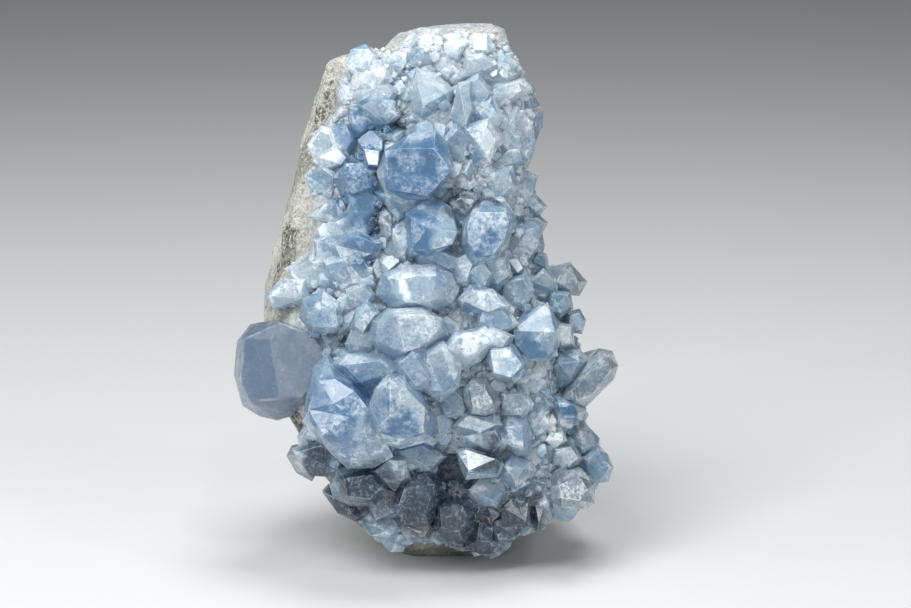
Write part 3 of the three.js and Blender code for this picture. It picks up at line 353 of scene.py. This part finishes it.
class Nodes:
    """Adds nodes to one tree, with their inputs set or linked."""

    def __init__(self, tree):
        self.tree = tree

    def fill(self, socket, value):
        if isinstance(value, bpy.types.NodeSocket):
            self.tree.links.new(value, socket)
        else:
            socket.default_value = value

    def add(self, kind, inputs=None, **settings):
        node = self.tree.nodes.new(kind)
        for name, value in settings.items():
            setattr(node, name, value)
        for name, value in (inputs or {}).items():
            self.fill(node.inputs[name], value)
        return node

    def attribute(self, name):
        return self.add("ShaderNodeAttribute", attribute_name=name).outputs["Fac"]

    def part(self, vector, axis):
        return self.add("ShaderNodeSeparateXYZ", {0: vector}).outputs[axis]

    def vector(self, operation, inputs, output=0):
        return self.add("ShaderNodeVectorMath", inputs, operation=operation).outputs[output]

    def noise(self, where, scale, detail=3.0, roughness=0.5):
        inputs = {"Vector": where, "Scale": scale, "Detail": detail, "Roughness": roughness}
        return self.add("ShaderNodeTexNoise", inputs).outputs["Fac"]

    def math(self, operation, first, second=0.0, clamp=False):
        node = self.add("ShaderNodeMath", {0: first, 1: second}, operation=operation, use_clamp=clamp)
        return node.outputs[0]

    def product(self, first, *others):
        for other in others:
            first = self.math("MULTIPLY", first, other)
        return first

    def total(self, first, *others):
        for other in others:
            first = self.math("ADD", first, other)
        return first

    def between(self, value, low, high, start=0.0, end=1.0):
        """Start where the value is low, end where it is high, and a smooth passage in between."""
        inputs = {"Value": value, "From Min": low, "From Max": high, "To Min": start, "To Max": end}
        return self.add("ShaderNodeMapRange", inputs, interpolation_type="SMOOTHSTEP").outputs[0]

    def mix(self, share, first, second):
        node = self.add("ShaderNodeMix", data_type="RGBA")
        for place, value in ((0, share), (6, first), (7, second)):
            self.fill(node.inputs[place], value)
        return node.outputs[2]

    def coat(self, base, share, strength, tone):
        """The base with a tone laid over it, where the share says and as far as the strength lets it."""
        return self.mix(self.math("MULTIPLY", share, strength), base, tone)

    def warped(self, where):
        """Places that are shifted a few millimetres, so that what uses them has ragged borders."""
        noise = self.add("ShaderNodeTexNoise", {"Vector": where, "Scale": WARP, "Detail": 2.0})
        shift = self.vector("SUBTRACT", {0: noise.outputs["Color"], 1: (0.5, 0.5, 0.5)})
        shift = self.vector("SCALE", {0: shift, "Scale": 14 * MM})
        return self.vector("ADD", {0: where, 1: shift})

    def patches(self, where, places):
        """1 in the middle of each patch, u, v and radius in millimetres, 0 outside all."""
        total = 0.0
        for u, v, radius in places:
            middle = place_seen_at(FRONT, u, v)
            distance = self.vector("DISTANCE", {0: where, 1: middle}, "Value")
            inside = self.between(distance, radius * MM, radius * PATCH_CORE * MM)
            total = self.math("MAXIMUM", inside, total)
        return total


def new_material(name):
    """An empty material, what adds nodes to it, and the place of each point on the object."""
    material = bpy.data.materials.new(name)
    material.use_nodes = True
    material.node_tree.nodes.clear()
    nodes = Nodes(material.node_tree)
    return material, nodes, nodes.add("ShaderNodeTexCoord").outputs["Object"]


# The crystals' finish

def crystal_patterns(nodes, where, veils, rounding):
    """What a crystal has at each point, most of it from 0 to 1: grains, etched faces, veils, edges."""
    has = SimpleNamespace()
    has.facet = nodes.attribute("facet")
    # Faces listed for a painted glint have tones above MILKIEST and are painted white.
    has.white = nodes.math("SUBTRACT", has.facet, MILKIEST, clamp=True)
    has.grains = nodes.noise(where, GRAINS, detail=3, roughness=0.8)
    has.blotch = nodes.noise(where, BLOTCHES, detail=3, roughness=0.7)
    has.wear = nodes.noise(where, WEAR, detail=3)
    etching = nodes.between(nodes.noise(where, ETCHING, detail=3), 0.4, 0.6)
    has.etched = nodes.product(etching, nodes.between(has.facet, 0.3, 0.6))
    has.sugar = nodes.product(has.etched, nodes.between(has.grains, 0.4, 0.6))
    veil = nodes.noise(where, VEILS, detail=4, roughness=0.75)
    has.veil = nodes.between(veil, 0.55, 0.66, 0.0, veils)
    has.rounded = nodes.add("ShaderNodeBevel", {"Radius": rounding * MM}, samples=4).outputs[0]
    flat = nodes.add("ShaderNodeNewGeometry").outputs["Normal"]
    bend = nodes.vector("DOT_PRODUCT", {0: has.rounded, 1: flat}, "Value")
    has.edge = nodes.product(nodes.between(bend, 0.995, 0.93), nodes.between(has.wear, 0.4, 0.6))
    return has


def add_patches(nodes, where, has):
    """Adds to what a crystal has: deep blue, painted shade, sugary and milky patches, and where light gets
    in.
    """
    ragged = nodes.warped(where)
    has.deep = nodes.patches(ragged, DEEP_PATCHES)
    has.dark = nodes.patches(ragged, PAINTED_SHADE_PATCHES)
    sugary = nodes.patches(ragged, SUGARY_PATCHES)
    has.sugary = nodes.product(sugary, nodes.between(has.blotch, 0.4, 0.5))
    has.light = nodes.between(has.deep, 0.0, 1.0, 1.0, 0.35)
    milky = nodes.between(has.facet, 0.2, 1.0, 0.0, 0.45)
    milky = nodes.product(milky, nodes.math("SUBTRACT", 1.0, has.deep))
    pale = nodes.product(nodes.patches(ragged, PALE_PATCHES), 0.55)
    has.milky = nodes.math("ADD", milky, pale, clamp=True)


def body_colour(nodes, where, has, body):
    """The crystal's own colour, which changes softly, and darkens in shards, blotches and patches."""
    first, second, depths = body
    shards = nodes.add("ShaderNodeTexVoronoi", {"Vector": where, "Scale": SHARDS, "Randomness": 1.0})
    tone = nodes.part(shards.outputs["Color"], "X")
    base = nodes.mix(nodes.between(nodes.noise(where, TINTS, detail=3), 0.38, 0.62), first, second)
    base = nodes.mix(nodes.between(tone, 0.2, 0.8, 0.0, 0.3), base, depths)
    base = nodes.mix(nodes.between(has.blotch, 0.5, 0.62, 0.0, 0.35), base, depths)
    return nodes.coat(base, has.deep, 0.9, depths)


def frosted(nodes, has, base, depths, milk, grain, crevices, edges):
    """The body's colour with what lies over it, from the milk to the white faces; the dark patches are
    painted shade, the white faces painted glints and the pale crevices partly painted light.
    """
    base = nodes.coat(base, has.milky, milk, MILK)
    base = nodes.coat(base, has.sugar, 0.45, FROST)
    base = nodes.mix(nodes.product(has.veil, 0.45, has.light), base, FROST)
    base = nodes.coat(base, nodes.between(has.grains, 0.5, 0.62, 0.0, grain), has.light, FROST)
    base = nodes.mix(nodes.between(has.grains, 0.48, 0.36, 0.0, grain), base, depths)
    # Crevices found by the AO node are painted paler: partly the pale druse that grows there, partly
    # painted light that lifts their shade.
    open_sky = nodes.add("ShaderNodeAmbientOcclusion", {"Distance": CREVICE_REACH}, samples=2)
    crevice = nodes.between(open_sky.outputs["AO"], 0.75, 0.3)
    crevice = nodes.product(crevice, nodes.between(has.grains, 0.3, 0.6, 0.5, 1.0), has.light)
    base = nodes.coat(base, crevice, crevices, ICE)
    base = nodes.coat(base, has.sugary, 0.7, SUGAR)
    # Painted shade: the dark patches turn the crystals to the shade's dark blue.
    base = nodes.coat(base, has.dark, nodes.between(has.grains, 0.5, 0.64, 0.93, 0.55), PAINTED_SHADE_BLUE)
    base = nodes.coat(base, has.edge, edges, FROST)
    return nodes.coat(base, has.white, nodes.between(has.grains, 0.3, 0.5, 0.2, 0.7), FROST)


def cloudiness(nodes, has):
    """How much of the clearness is lost to milk, sugar, veils, worn edges and white faces painted as
    glints.
    """
    sugar_and_glint = nodes.math("MAXIMUM", has.white, has.sugary)
    layers = ((has.milky, 0.25), (has.sugar, 0.3), (has.veil, 0.3), (has.edge, 0.3), (sugar_and_glint, 0.5))
    return nodes.total(*[nodes.product(share, strength) for share, strength in layers])


def celestite(name, clearness, depth_colour, density, body=SKY_BLUE, veils=1.0, milk=1.0, grain=0.36,
              edges=0.5, crevices=0.6, rounding=0.25, dull=0.0):
    """Crystal with some faces clear and some finely etched, with veils inside and frosted edges."""
    material, nodes, where = new_material(name)
    has = crystal_patterns(nodes, where, veils, rounding)
    add_patches(nodes, where, has)
    base = body_colour(nodes, where, has, body)
    base = frosted(nodes, has, base, body[2], milk, grain, crevices, edges)
    clear = nodes.math("SUBTRACT", clearness, cloudiness(nodes, has), clamp=True)
    rough = nodes.total(nodes.between(has.wear, 0.35, 0.7, 0.02 + dull, 0.14 + dull),
                        nodes.product(nodes.math("MAXIMUM", has.etched, has.sugary), 0.25),
                        nodes.product(has.edge, 0.15))
    bump = nodes.add("ShaderNodeBump", {
        "Strength": nodes.between(has.etched, 0.0, 1.0, 0.15, 0.4), "Distance": ETCH_DEPTH,
        "Height": has.grains, "Normal": has.rounded})
    shader = nodes.add("ShaderNodeBsdfPrincipled", {
        "Base Color": base, "Roughness": rough, "IOR": CRYSTAL_IOR, "Transmission Weight": clear,
        "Subsurface Weight": GLOW, "Subsurface Radius": (1.0, 1.0, 1.0), "Subsurface Scale": GLOW_DEPTH,
        "Normal": bump.outputs[0]})
    depth = nodes.add("ShaderNodeVolumeAbsorption", {"Color": depth_colour, "Density": density})
    nodes.add("ShaderNodeOutputMaterial", {"Surface": shader.outputs[0], "Volume": depth.outputs[0]})
    return material


# The rock's finish

def rock_chalk(nodes, where, coarse, grain):
    """Bare rock: grey and cream chalk with light grains, dark grains and dark flecks."""
    tone = nodes.part(grain.outputs["Color"], "X")
    chalk = nodes.mix(nodes.between(coarse, 0.35, 0.65), GREY_CHALK, CREAM_CHALK)
    chalk = nodes.mix(nodes.between(tone, 0.3, 1.0, 0.0, 0.5), chalk, WHITE_GRAIN)
    chalk = nodes.mix(nodes.between(tone, 0.25, 0.0, 0.0, 0.6), chalk, DARK_GRAIN)
    fleck = nodes.between(nodes.noise(where, ROCK_FLECKS, detail=4, roughness=0.8), 0.44, 0.36)
    return nodes.coat(chalk, fleck, 0.7, FLECK)


def rock_stains(nodes, where, ragged, coarse, mottle, specks):
    """How stained the bare rock is, in patches and here and there, always speckled."""
    blotch = nodes.between(nodes.noise(where, ROCK_STAINS, detail=5, roughness=0.6), 0.5, 0.62)
    stain = nodes.total(nodes.patches(ragged, STAINS), nodes.between(coarse, 0.35, 0.65, -0.5, 0.3))
    stain = nodes.math("MAXIMUM", nodes.product(blotch, 0.6), nodes.between(stain, 0.15, 0.8))
    return nodes.product(stain, nodes.math("ADD", specks, nodes.product(mottle, 0.4), clamp=True))


def rock_sugar(nodes, where, ragged, mottle, specks):
    """The sugary bed of the crystals: blue-grey to white, with earth, and painted shade in dark patches
    and dark hollows.
    """
    tint = nodes.noise(where, ROCK_SUGAR, detail=5, roughness=0.7)
    sugar = nodes.mix(nodes.between(tint, 0.4, 0.6), BLUE_SUGAR, WHITE_SUGAR)
    sugar = nodes.coat(sugar, nodes.product(nodes.patches(ragged, EARTH_PATCHES), mottle), 0.8, EARTH)
    # Painted shade: the dark patches and the hollows turn the bed to the shade's dark blue.
    dark = nodes.math("MAXIMUM", nodes.patches(ragged, PAINTED_SHADE_PATCHES), nodes.attribute("hollow"))
    return nodes.coat(sugar, dark, nodes.between(specks, 0.0, 1.0, 0.98, 0.8), PAINTED_SHADE_BLUE)


def host_rock_finish():
    """Chalky cream rock, grainy and stained grey-green, with a sugary blue-grey bed by the crystals, and
    painted shade at its foot and in dark patches and hollows.
    """
    material, nodes, where = new_material("chalky host rock")
    bed = nodes.attribute("bed")
    ragged = nodes.warped(where)
    coarse = nodes.noise(where, ROCK_TINTS, detail=4, roughness=0.7)
    mottle = nodes.between(nodes.noise(where, ROCK_MOTTLE, detail=4, roughness=0.8), 0.44, 0.56)
    specks = nodes.between(nodes.noise(where, ROCK_SPECKS, detail=4, roughness=0.8), 0.46, 0.52)
    grain = nodes.add("ShaderNodeTexVoronoi", {"Vector": where, "Scale": ROCK_GRAINS})
    chalk = rock_chalk(nodes, where, coarse, grain)
    chalk = nodes.coat(chalk, rock_stains(nodes, where, ragged, coarse, mottle, specks), 0.95, STAIN)
    base = nodes.mix(bed, chalk, rock_sugar(nodes, where, ragged, mottle, specks))
    # Painted shade: the rock darkens in patches towards the floor, as its foot is in shadow.
    low = nodes.between(nodes.part(where, "Z"), 11 * MM, 1 * MM)
    base = nodes.coat(base, nodes.product(low, nodes.between(coarse, 0.3, 0.55)), 0.75, PAINTED_FOOT_SHADE)
    height = nodes.total(nodes.product(grain.outputs["Distance"], -0.4), coarse,
                         nodes.noise(where, ROCK_SUGAR, detail=5, roughness=0.8))
    bump = nodes.add("ShaderNodeBump", {"Strength": 1.0, "Distance": 0.9 * MM, "Height": height})
    rough = nodes.math("SUBTRACT", 0.93, nodes.product(bed, 0.4))
    shader = nodes.add("ShaderNodeBsdfPrincipled", {
        "Base Color": base, "Roughness": rough, "Normal": bump.outputs[0]})
    nodes.add("ShaderNodeOutputMaterial", {"Surface": shader.outputs[0]})
    return material


# The rock

def near_crystals(points):
    """1 at the crystals, falling to 0 away from them."""
    names = ("crystal_crust", *LONE_CRYSTALS)
    crystals = [shape_of(frame["nodes"][name].data) for name in names]
    distances = np.full(len(points), BED_REACH[1])
    for i, point in enumerate(points):
        for crystal in crystals:
            distance = crystal.find_nearest(point, distances[i])[3]
            if distance is not None:
                distances[i] = min(distances[i], distance)
    return 1 - smooth_step(*BED_REACH, distances + lumps(points, 4 * MM) * 1.5 * MM)


def inside_any(points, places):
    """1 inside the round places, u, v, near and radius in millimetres, 0 outside them."""
    inside = np.zeros(len(points))
    for u, v, near, radius in places:
        distance = np.linalg.norm(points - np.array(seen_at(u, v, near)), axis=1)
        inside = np.maximum(inside, 1 - smooth_step(radius * 0.7 * MM, radius * 1.2 * MM, distance))
    return inside


def bed_share(points, normals):
    """1 where the sugary bed covers the rock, by the crystals and over the top, 0 where it is bare."""
    facing = normals[:, 0] + 0.2 * lumps(points, 5 * MM, 6.1)
    by_crystals = near_crystals(points) * smooth_step(*BARE_SIDE, facing)
    shifts = [lumps(points, 6 * MM, seed) for seed in BORDER_SEEDS]
    ragged = points + BORDER_SHIFT * np.stack(shifts, axis=1)
    over_top = inside_any(ragged, SUGARED_TOP) * (1 - smooth_step(*SUGARED_BACK, ragged[:, 1]))
    return np.maximum(by_crystals, over_top)


def rock_relief(points):
    """How far the bare rock's skin stands out: lumps, ledges on the broken back, crags and pits."""
    back = smooth_step(*BROKEN_BACK, points[:, 1])
    ledges = np.round(lumps(points * (1, 1, 1.6), 15 * MM, 4.2) * 2.5) / 2.5
    pits = smooth_step(0.3, 0.65, lumps(points, 3.4 * MM, 7.7))
    crags = smooth_step(*CRAGGY_TOP, points[:, 2]) * lumps(points * (1, 1, 0.6), 6.5 * MM, 1.4)
    rough = (0.7 * lumps(points, 11 * MM) + 0.35 * lumps(points, 4.5 * MM, 2.1)
             + 0.22 * lumps(points, 1.9 * MM, 5.3))
    return MM * (rough + 0.9 * back * ledges + 1.6 * crags - 0.6 * pits - 0.5)


def make_rock(finish):
    rock = placed("rock", merged_copy("host_rock"))
    remesh = rock.modifiers.new("even mesh", "REMESH")
    remesh.mode = "VOXEL"
    remesh.voxel_size = ROCK_GRAIN
    rock.data = applied(rock)
    points = vertex_places(rock.data)
    normals = vertex_normals(rock.data)
    bed = bed_share(points, normals)
    hollow = inside_any(points, HOLLOWS)
    sugary = MM * (BED_HEIGHT + BED_LUMPS * lumps(points, 3 * MM, 3.3))
    height = bed * sugary + (1 - bed) * rock_relief(points) - HOLLOW_DEPTH * hollow
    height = height * smooth_step(*FOOT_EDGE, points[:, 2])
    points = np.clip(points + normals * height[:, None], *CAD_BOX)
    rock.data.vertices.foreach_set("co", points.ravel())
    rock.data.update()
    store(rock.data, "bed", bed)
    store(rock.data, "hollow", hollow)
    dress(rock.data, finish, smooth=True)
    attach(rock, "root")
    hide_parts("host_rock")
    return rock


# The crystals

def make_crystals(node_name, piece_name, finish):
    """The crystals of one CAD node, with a tone for each face."""
    piece = new_piece(piece_name, merged_copy(node_name, flatten=FLAT_FACES), finish)
    faces = piece.data.polygons
    tones = np.random.default_rng(len(faces)).random(len(faces))
    if node_name == "corner_crystal":
        tones = np.array([CORNER_FRONT if face.normal.y < -0.8 else CORNER_SIDES for face in faces])
    # Painted glints: these faces get a tone above MILKIEST, which paints them white like a light's
    # reflection.
    for u, v, glint_whiteness in PAINTED_GLINT_FACES.get(node_name, []):
        seen = hit_at(shape_of(piece.data), u, v)[2]
        if seen is not None:
            tones[seen] = MILKIEST + glint_whiteness
    store(piece.data, "facet", tones, "FACE")
    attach(piece, "root")
    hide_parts(node_name)
    return piece


def cut_flat(mesh, normal, out):
    """Cuts the body flat, out from its middle on the normal's side, and closes it."""
    geometry = mesh.verts[:] + mesh.edges[:] + mesh.faces[:]
    bmesh.ops.bisect_plane(mesh, geom=geometry, plane_co=normal * out, plane_no=normal, clear_outer=True)
    open_edges = [edge for edge in mesh.edges if edge.is_boundary]
    if open_edges:
        bmesh.ops.holes_fill(mesh, edges=open_edges)


def small_crystal(seed):
    """One small crystal, a unit across, as the body inside planes set at uneven distances."""
    rng = random.Random(seed)
    mesh = bmesh.new()
    bmesh.ops.create_cube(mesh, size=4)
    planes = [(Vector(face), rng.uniform(nearest, furthest))
              for faces, nearest, furthest in SMALL_FACES for face in faces]
    for normal, out in planes:
        cut_flat(mesh, normal, out)
    bmesh.ops.remove_doubles(mesh, verts=mesh.verts, dist=0.03)
    upright = Matrix.Rotation(math.radians(-90), 4, "Y")
    bmesh.ops.transform(mesh, matrix=upright, verts=mesh.verts)
    bmesh.ops.recalc_face_normals(mesh, faces=mesh.faces)
    data = plain_data(mesh, f"small_crystal_{seed}")
    store(data, "facet", [rng.random() for _ in data.polygons], "FACE")
    return data


def small_crystal_set(count):
    shapes = bpy.data.collections.new("small crystals")
    bpy.context.scene.collection.children.link(shapes)
    for seed in range(count):
        shapes.objects.link(bpy.data.objects.new(f"small_crystal_{seed}", small_crystal(seed)))
    return shapes


# The tree that grows small crystals

DRUSE_INPUTS = (("Geometry", "Geometry"), ("Shapes", "Collection"), ("Neighbour", "Object"),
                ("Reach", "Float"), ("Spacing", "Float"), ("Smallest", "Float"), ("Largest", "Float"),
                ("Tilt", "Float"), ("Sink", "Float"), ("Start", "Float"), ("Leftmost", "Float"),
                ("Lowest", "Float"), ("Highest", "Float"), ("Seed", "Int"), ("Finish", "Material"))


def unwanted_points(nodes, given, normal):
    """0 at a point that is kept, more where it is inside the neighbour, in a hollow or past a limit."""
    neighbour = nodes.add("GeometryNodeObjectInfo", {"Object": given["Neighbour"]}).outputs["Geometry"]
    near = nodes.add("GeometryNodeProximity", {0: neighbour}, target_element="FACES")
    distance = near.outputs["Distance"]
    ray = nodes.add("GeometryNodeRaycast", {
        "Target Geometry": neighbour, "Ray Direction": normal, "Ray Length": 1.0}, data_type="FLOAT")
    facing = nodes.vector("DOT_PRODUCT", {0: ray.outputs["Hit Normal"], 1: normal}, "Value")
    unwanted = nodes.product(ray.outputs["Is Hit"], nodes.math("GREATER_THAN", facing, 0.0))
    height = nodes.part(nodes.add("GeometryNodeInputPosition").outputs[0], "Z")
    facing_left = nodes.part(normal, "X")
    for value, limit in ((distance, "Reach"), (height, "Highest")):
        unwanted = nodes.total(unwanted, nodes.math("GREATER_THAN", value, given[limit]))
    for value, limit in ((distance, "Start"), (facing_left, "Leftmost"), (height, "Lowest")):
        unwanted = nodes.total(unwanted, nodes.math("LESS_THAN", value, given[limit]))
    hollow = nodes.add("GeometryNodeInputNamedAttribute", {"Name": "hollow"}, data_type="FLOAT").outputs[0]
    return nodes.total(unwanted, nodes.math("GREATER_THAN", hollow, 0.85))


def uneven_turn(nodes, given, normal):
    """Upright on the surface, turned at random about that and tilted a little."""
    upright = nodes.add("FunctionNodeAlignRotationToVector", {"Vector": normal}, axis="Z").outputs[0]
    draw = nodes.add("FunctionNodeRandomValue", {
        "Min": (-1, -1, -math.pi), "Max": (1, 1, math.pi), "Seed": given["Seed"]},
        data_type="FLOAT_VECTOR").outputs[0]
    tilt = given["Tilt"]
    amount = nodes.add("ShaderNodeCombineXYZ", {"X": tilt, "Y": tilt, "Z": 1.0}).outputs[0]
    tilted = nodes.vector("MULTIPLY", {0: draw, 1: amount})
    turn = nodes.add("FunctionNodeEulerToRotation", {"Euler": tilted}).outputs[0]
    rotated = nodes.add("FunctionNodeRotateRotation", {
        "Rotation": upright, "Rotate By": turn}, rotation_space="LOCAL")
    return rotated.outputs[0]


def uneven_size(nodes, given):
    """A size between the smallest and the largest, more often a small one."""
    draw = nodes.add("FunctionNodeRandomValue", {"Seed": given["Seed"]}, data_type="FLOAT").outputs[1]
    return nodes.add("ShaderNodeMapRange", {
        "Value": nodes.math("POWER", draw, 1.8), "To Min": given["Smallest"],
        "To Max": given["Largest"]}).outputs[0]


def druse_tree():
    """Small crystals scattered on a surface, near a neighbour and outside it."""
    tree = bpy.data.node_groups.new("druse", "GeometryNodeTree")
    for name, kind in DRUSE_INPUTS:
        tree.interface.new_socket(name, in_out="INPUT", socket_type="NodeSocket" + kind)
    tree.interface.new_socket("Geometry", in_out="OUTPUT", socket_type="NodeSocketGeometry")
    nodes = Nodes(tree)
    given = nodes.add("NodeGroupInput").outputs
    scatter = nodes.add("GeometryNodeDistributePointsOnFaces", {
        "Mesh": given["Geometry"], "Distance Min": given["Spacing"], "Density Max": 4e6,
        "Seed": given["Seed"]}, distribute_method="POISSON")
    normal = scatter.outputs["Normal"]
    kept = nodes.add("GeometryNodeDeleteGeometry", {
        "Geometry": scatter.outputs["Points"],
        "Selection": unwanted_points(nodes, given, normal)}, domain="POINT")
    shapes = nodes.add("GeometryNodeCollectionInfo", {
        "Collection": given["Shapes"], "Separate Children": True, "Reset Children": True})
    grown = nodes.add("GeometryNodeInstanceOnPoints", {
        "Points": kept.outputs[0], "Instance": shapes.outputs[0], "Pick Instance": True,
        "Rotation": uneven_turn(nodes, given, normal), "Scale": uneven_size(nodes, given)})
    lift = nodes.add("ShaderNodeCombineXYZ", {"Z": given["Sink"]})
    lowered = nodes.add("GeometryNodeTranslateInstances", {
        "Instances": grown.outputs[0], "Translation": lift.outputs[0], "Local Space": True})
    solid = nodes.add("GeometryNodeRealizeInstances", {"Geometry": lowered.outputs[0]})
    flat = nodes.add("GeometryNodeSetShadeSmooth", {"Geometry": solid.outputs[0], "Shade Smooth": False})
    finished = nodes.add("GeometryNodeSetMaterial", {
        "Geometry": flat.outputs[0], "Material": given["Finish"]})
    nodes.add("NodeGroupOutput", {"Geometry": finished.outputs[0]})
    return tree


def grow_druse(name, tree, ground, finish, **inputs):
    """A piece of small crystals grown on the ground's surface."""
    host = placed(name + "_host", ground.data)
    modifier = host.modifiers.new(name, "NODES")
    modifier.node_group = tree
    sockets = [item for item in tree.interface.items_tree if item.in_out == "INPUT"]
    identifiers = {socket.name: socket.identifier for socket in sockets}
    for label, value in {**inputs, "Finish": finish}.items():
        modifier[identifiers[label]] = value
    data = applied(host)
    bpy.data.objects.remove(host)
    data.vertices.foreach_set("co", np.clip(vertex_places(data), *CAD_BOX).ravel())
    piece = new_piece(name, data, finish)
    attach(piece, "root")
    return piece


# The room

def make_floor():
    mesh = bmesh.new()
    bmesh.ops.create_grid(mesh, x_segments=1, y_segments=1, size=FLOOR_SIZE)
    material = bpy.data.materials.new("pale floor")
    material.use_nodes = True
    shader = material.node_tree.nodes["Principled BSDF"]
    shader.inputs["Base Color"].default_value = colour(0.72, 0.73, 0.74)
    shader.inputs["Roughness"].default_value = 0.6
    floor = new_piece("floor", plain_data(mesh, "floor"), material)


def make_light(name, place, aim, size, power):
    light = bpy.data.lights.new(name, "AREA")
    light.shape = "DISK"
    light.size = size
    light.energy = power
    lamp = placed(name, light)
    lamp.location = place
    lamp.rotation_euler = (Vector(aim) - Vector(place)).to_track_quat("-Z", "Y").to_euler()


def make_sky():
    world = bpy.data.worlds.new("studio")
    world.use_nodes = True
    sky = world.node_tree.nodes["Background"]
    sky.inputs["Color"].default_value = colour(0.85, 0.88, 0.92)
    sky.inputs["Strength"].default_value = SKY_STRENGTH
    bpy.context.scene.world = world
    bpy.context.scene.view_settings.view_transform = "Standard"


def make_camera():
    camera = placed("camera", bpy.data.cameras.new("camera"))
    camera.data.lens = CAMERA_LENS
    camera.location = AIM + towards_camera() * CAMERA_DISTANCE
    camera.rotation_euler = (-towards_camera()).to_track_quat("-Z", "Y").to_euler()
    bpy.context.scene.camera = camera


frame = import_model()
CAD_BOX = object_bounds()
FRONT = front_shape()
make_camera()
make_floor()
for light_name, light_values in LIGHTS.items():
    make_light(light_name, *light_values)
make_sky()

# Each finish's clearness, the colour of its depths and how soon it shows, per metre.
crust_finish = celestite("celestite, crust", 0.62, colour(0.6, 0.8, 0.95), 70.0)
block_finish = celestite("celestite, clear block", 0.55, colour(0.62, 0.76, 0.88), 60.0, body=GREY_BLUE,
                         veils=0.6, milk=0.5, edges=0.35)
corner_finish = celestite("celestite, corner block", 0.3, colour(0.6, 0.7, 0.85), 50.0, body=LAVENDER,
                          veils=0.3, milk=0.6, grain=0.2, edges=0.3, crevices=0.0, rounding=0.9, dull=0.16)
druse_finish = celestite("celestite, fine druse", 0.45, colour(0.6, 0.78, 0.92), 90.0,
                         veils=0.6, milk=0.7)
sugar_finish = celestite("celestite, sugary rim", 0.35, colour(0.75, 0.85, 0.93), 40.0, veils=0.8)

rock = make_rock(host_rock_finish())
crust = make_crystals("crystal_crust", "crust", crust_finish)
lone = []
for node in LONE_CRYSTALS:
    finish = corner_finish if node == "corner_crystal" else block_finish
    lone.append(make_crystals(node, node.replace("_crystal", "_block"), finish))

druse = druse_tree()
shapes = small_crystal_set(SMALL_SHAPES)
all_crystals = joined_copy("all_crystals", [crust, *lone])
top = CAD_BOX[1].z
limits = {"Start": 0.0, "Leftmost": -0.35, "Lowest": 1 * MM, "Highest": top - 2.5 * MM}
grow_druse("between_crystals", druse, rock, druse_finish, Shapes=shapes, Neighbour=all_crystals,
           Reach=3.6 * MM, Spacing=2.6 * MM, Smallest=3.4 * MM, Largest=7 * MM, Tilt=0.5, Sink=-0.22,
           Seed=3, **limits)
grow_druse("fine_druse", druse, rock, druse_finish, Shapes=shapes, Neighbour=all_crystals,
           Reach=5 * MM, Spacing=1.2 * MM, Smallest=1 * MM, Largest=2.4 * MM, Tilt=0.9, Sink=-0.1,
           Seed=8, **limits)
grow_druse("overgrowth", druse, crust, druse_finish, Shapes=shapes, Neighbour=rock,
           Reach=2.4 * MM, Spacing=2 * MM, Smallest=1.2 * MM, Largest=3.2 * MM, Tilt=0.7, Sink=-0.2,
           Seed=5, **limits)
rim_limits = {**limits, "Start": 1.5 * MM, "Highest": top - 0.8 * MM}
grow_druse("sugary_rim", druse, rock, sugar_finish, Shapes=shapes, Neighbour=all_crystals,
           Reach=7 * MM, Spacing=1 * MM, Smallest=0.7 * MM, Largest=1.6 * MM, Tilt=1.0, Sink=0.1,
           Seed=11, **rim_limits)

for helper in [all_crystals, *shapes.objects]:
    bpy.data.objects.remove(helper)
bpy.data.collections.remove(shapes)
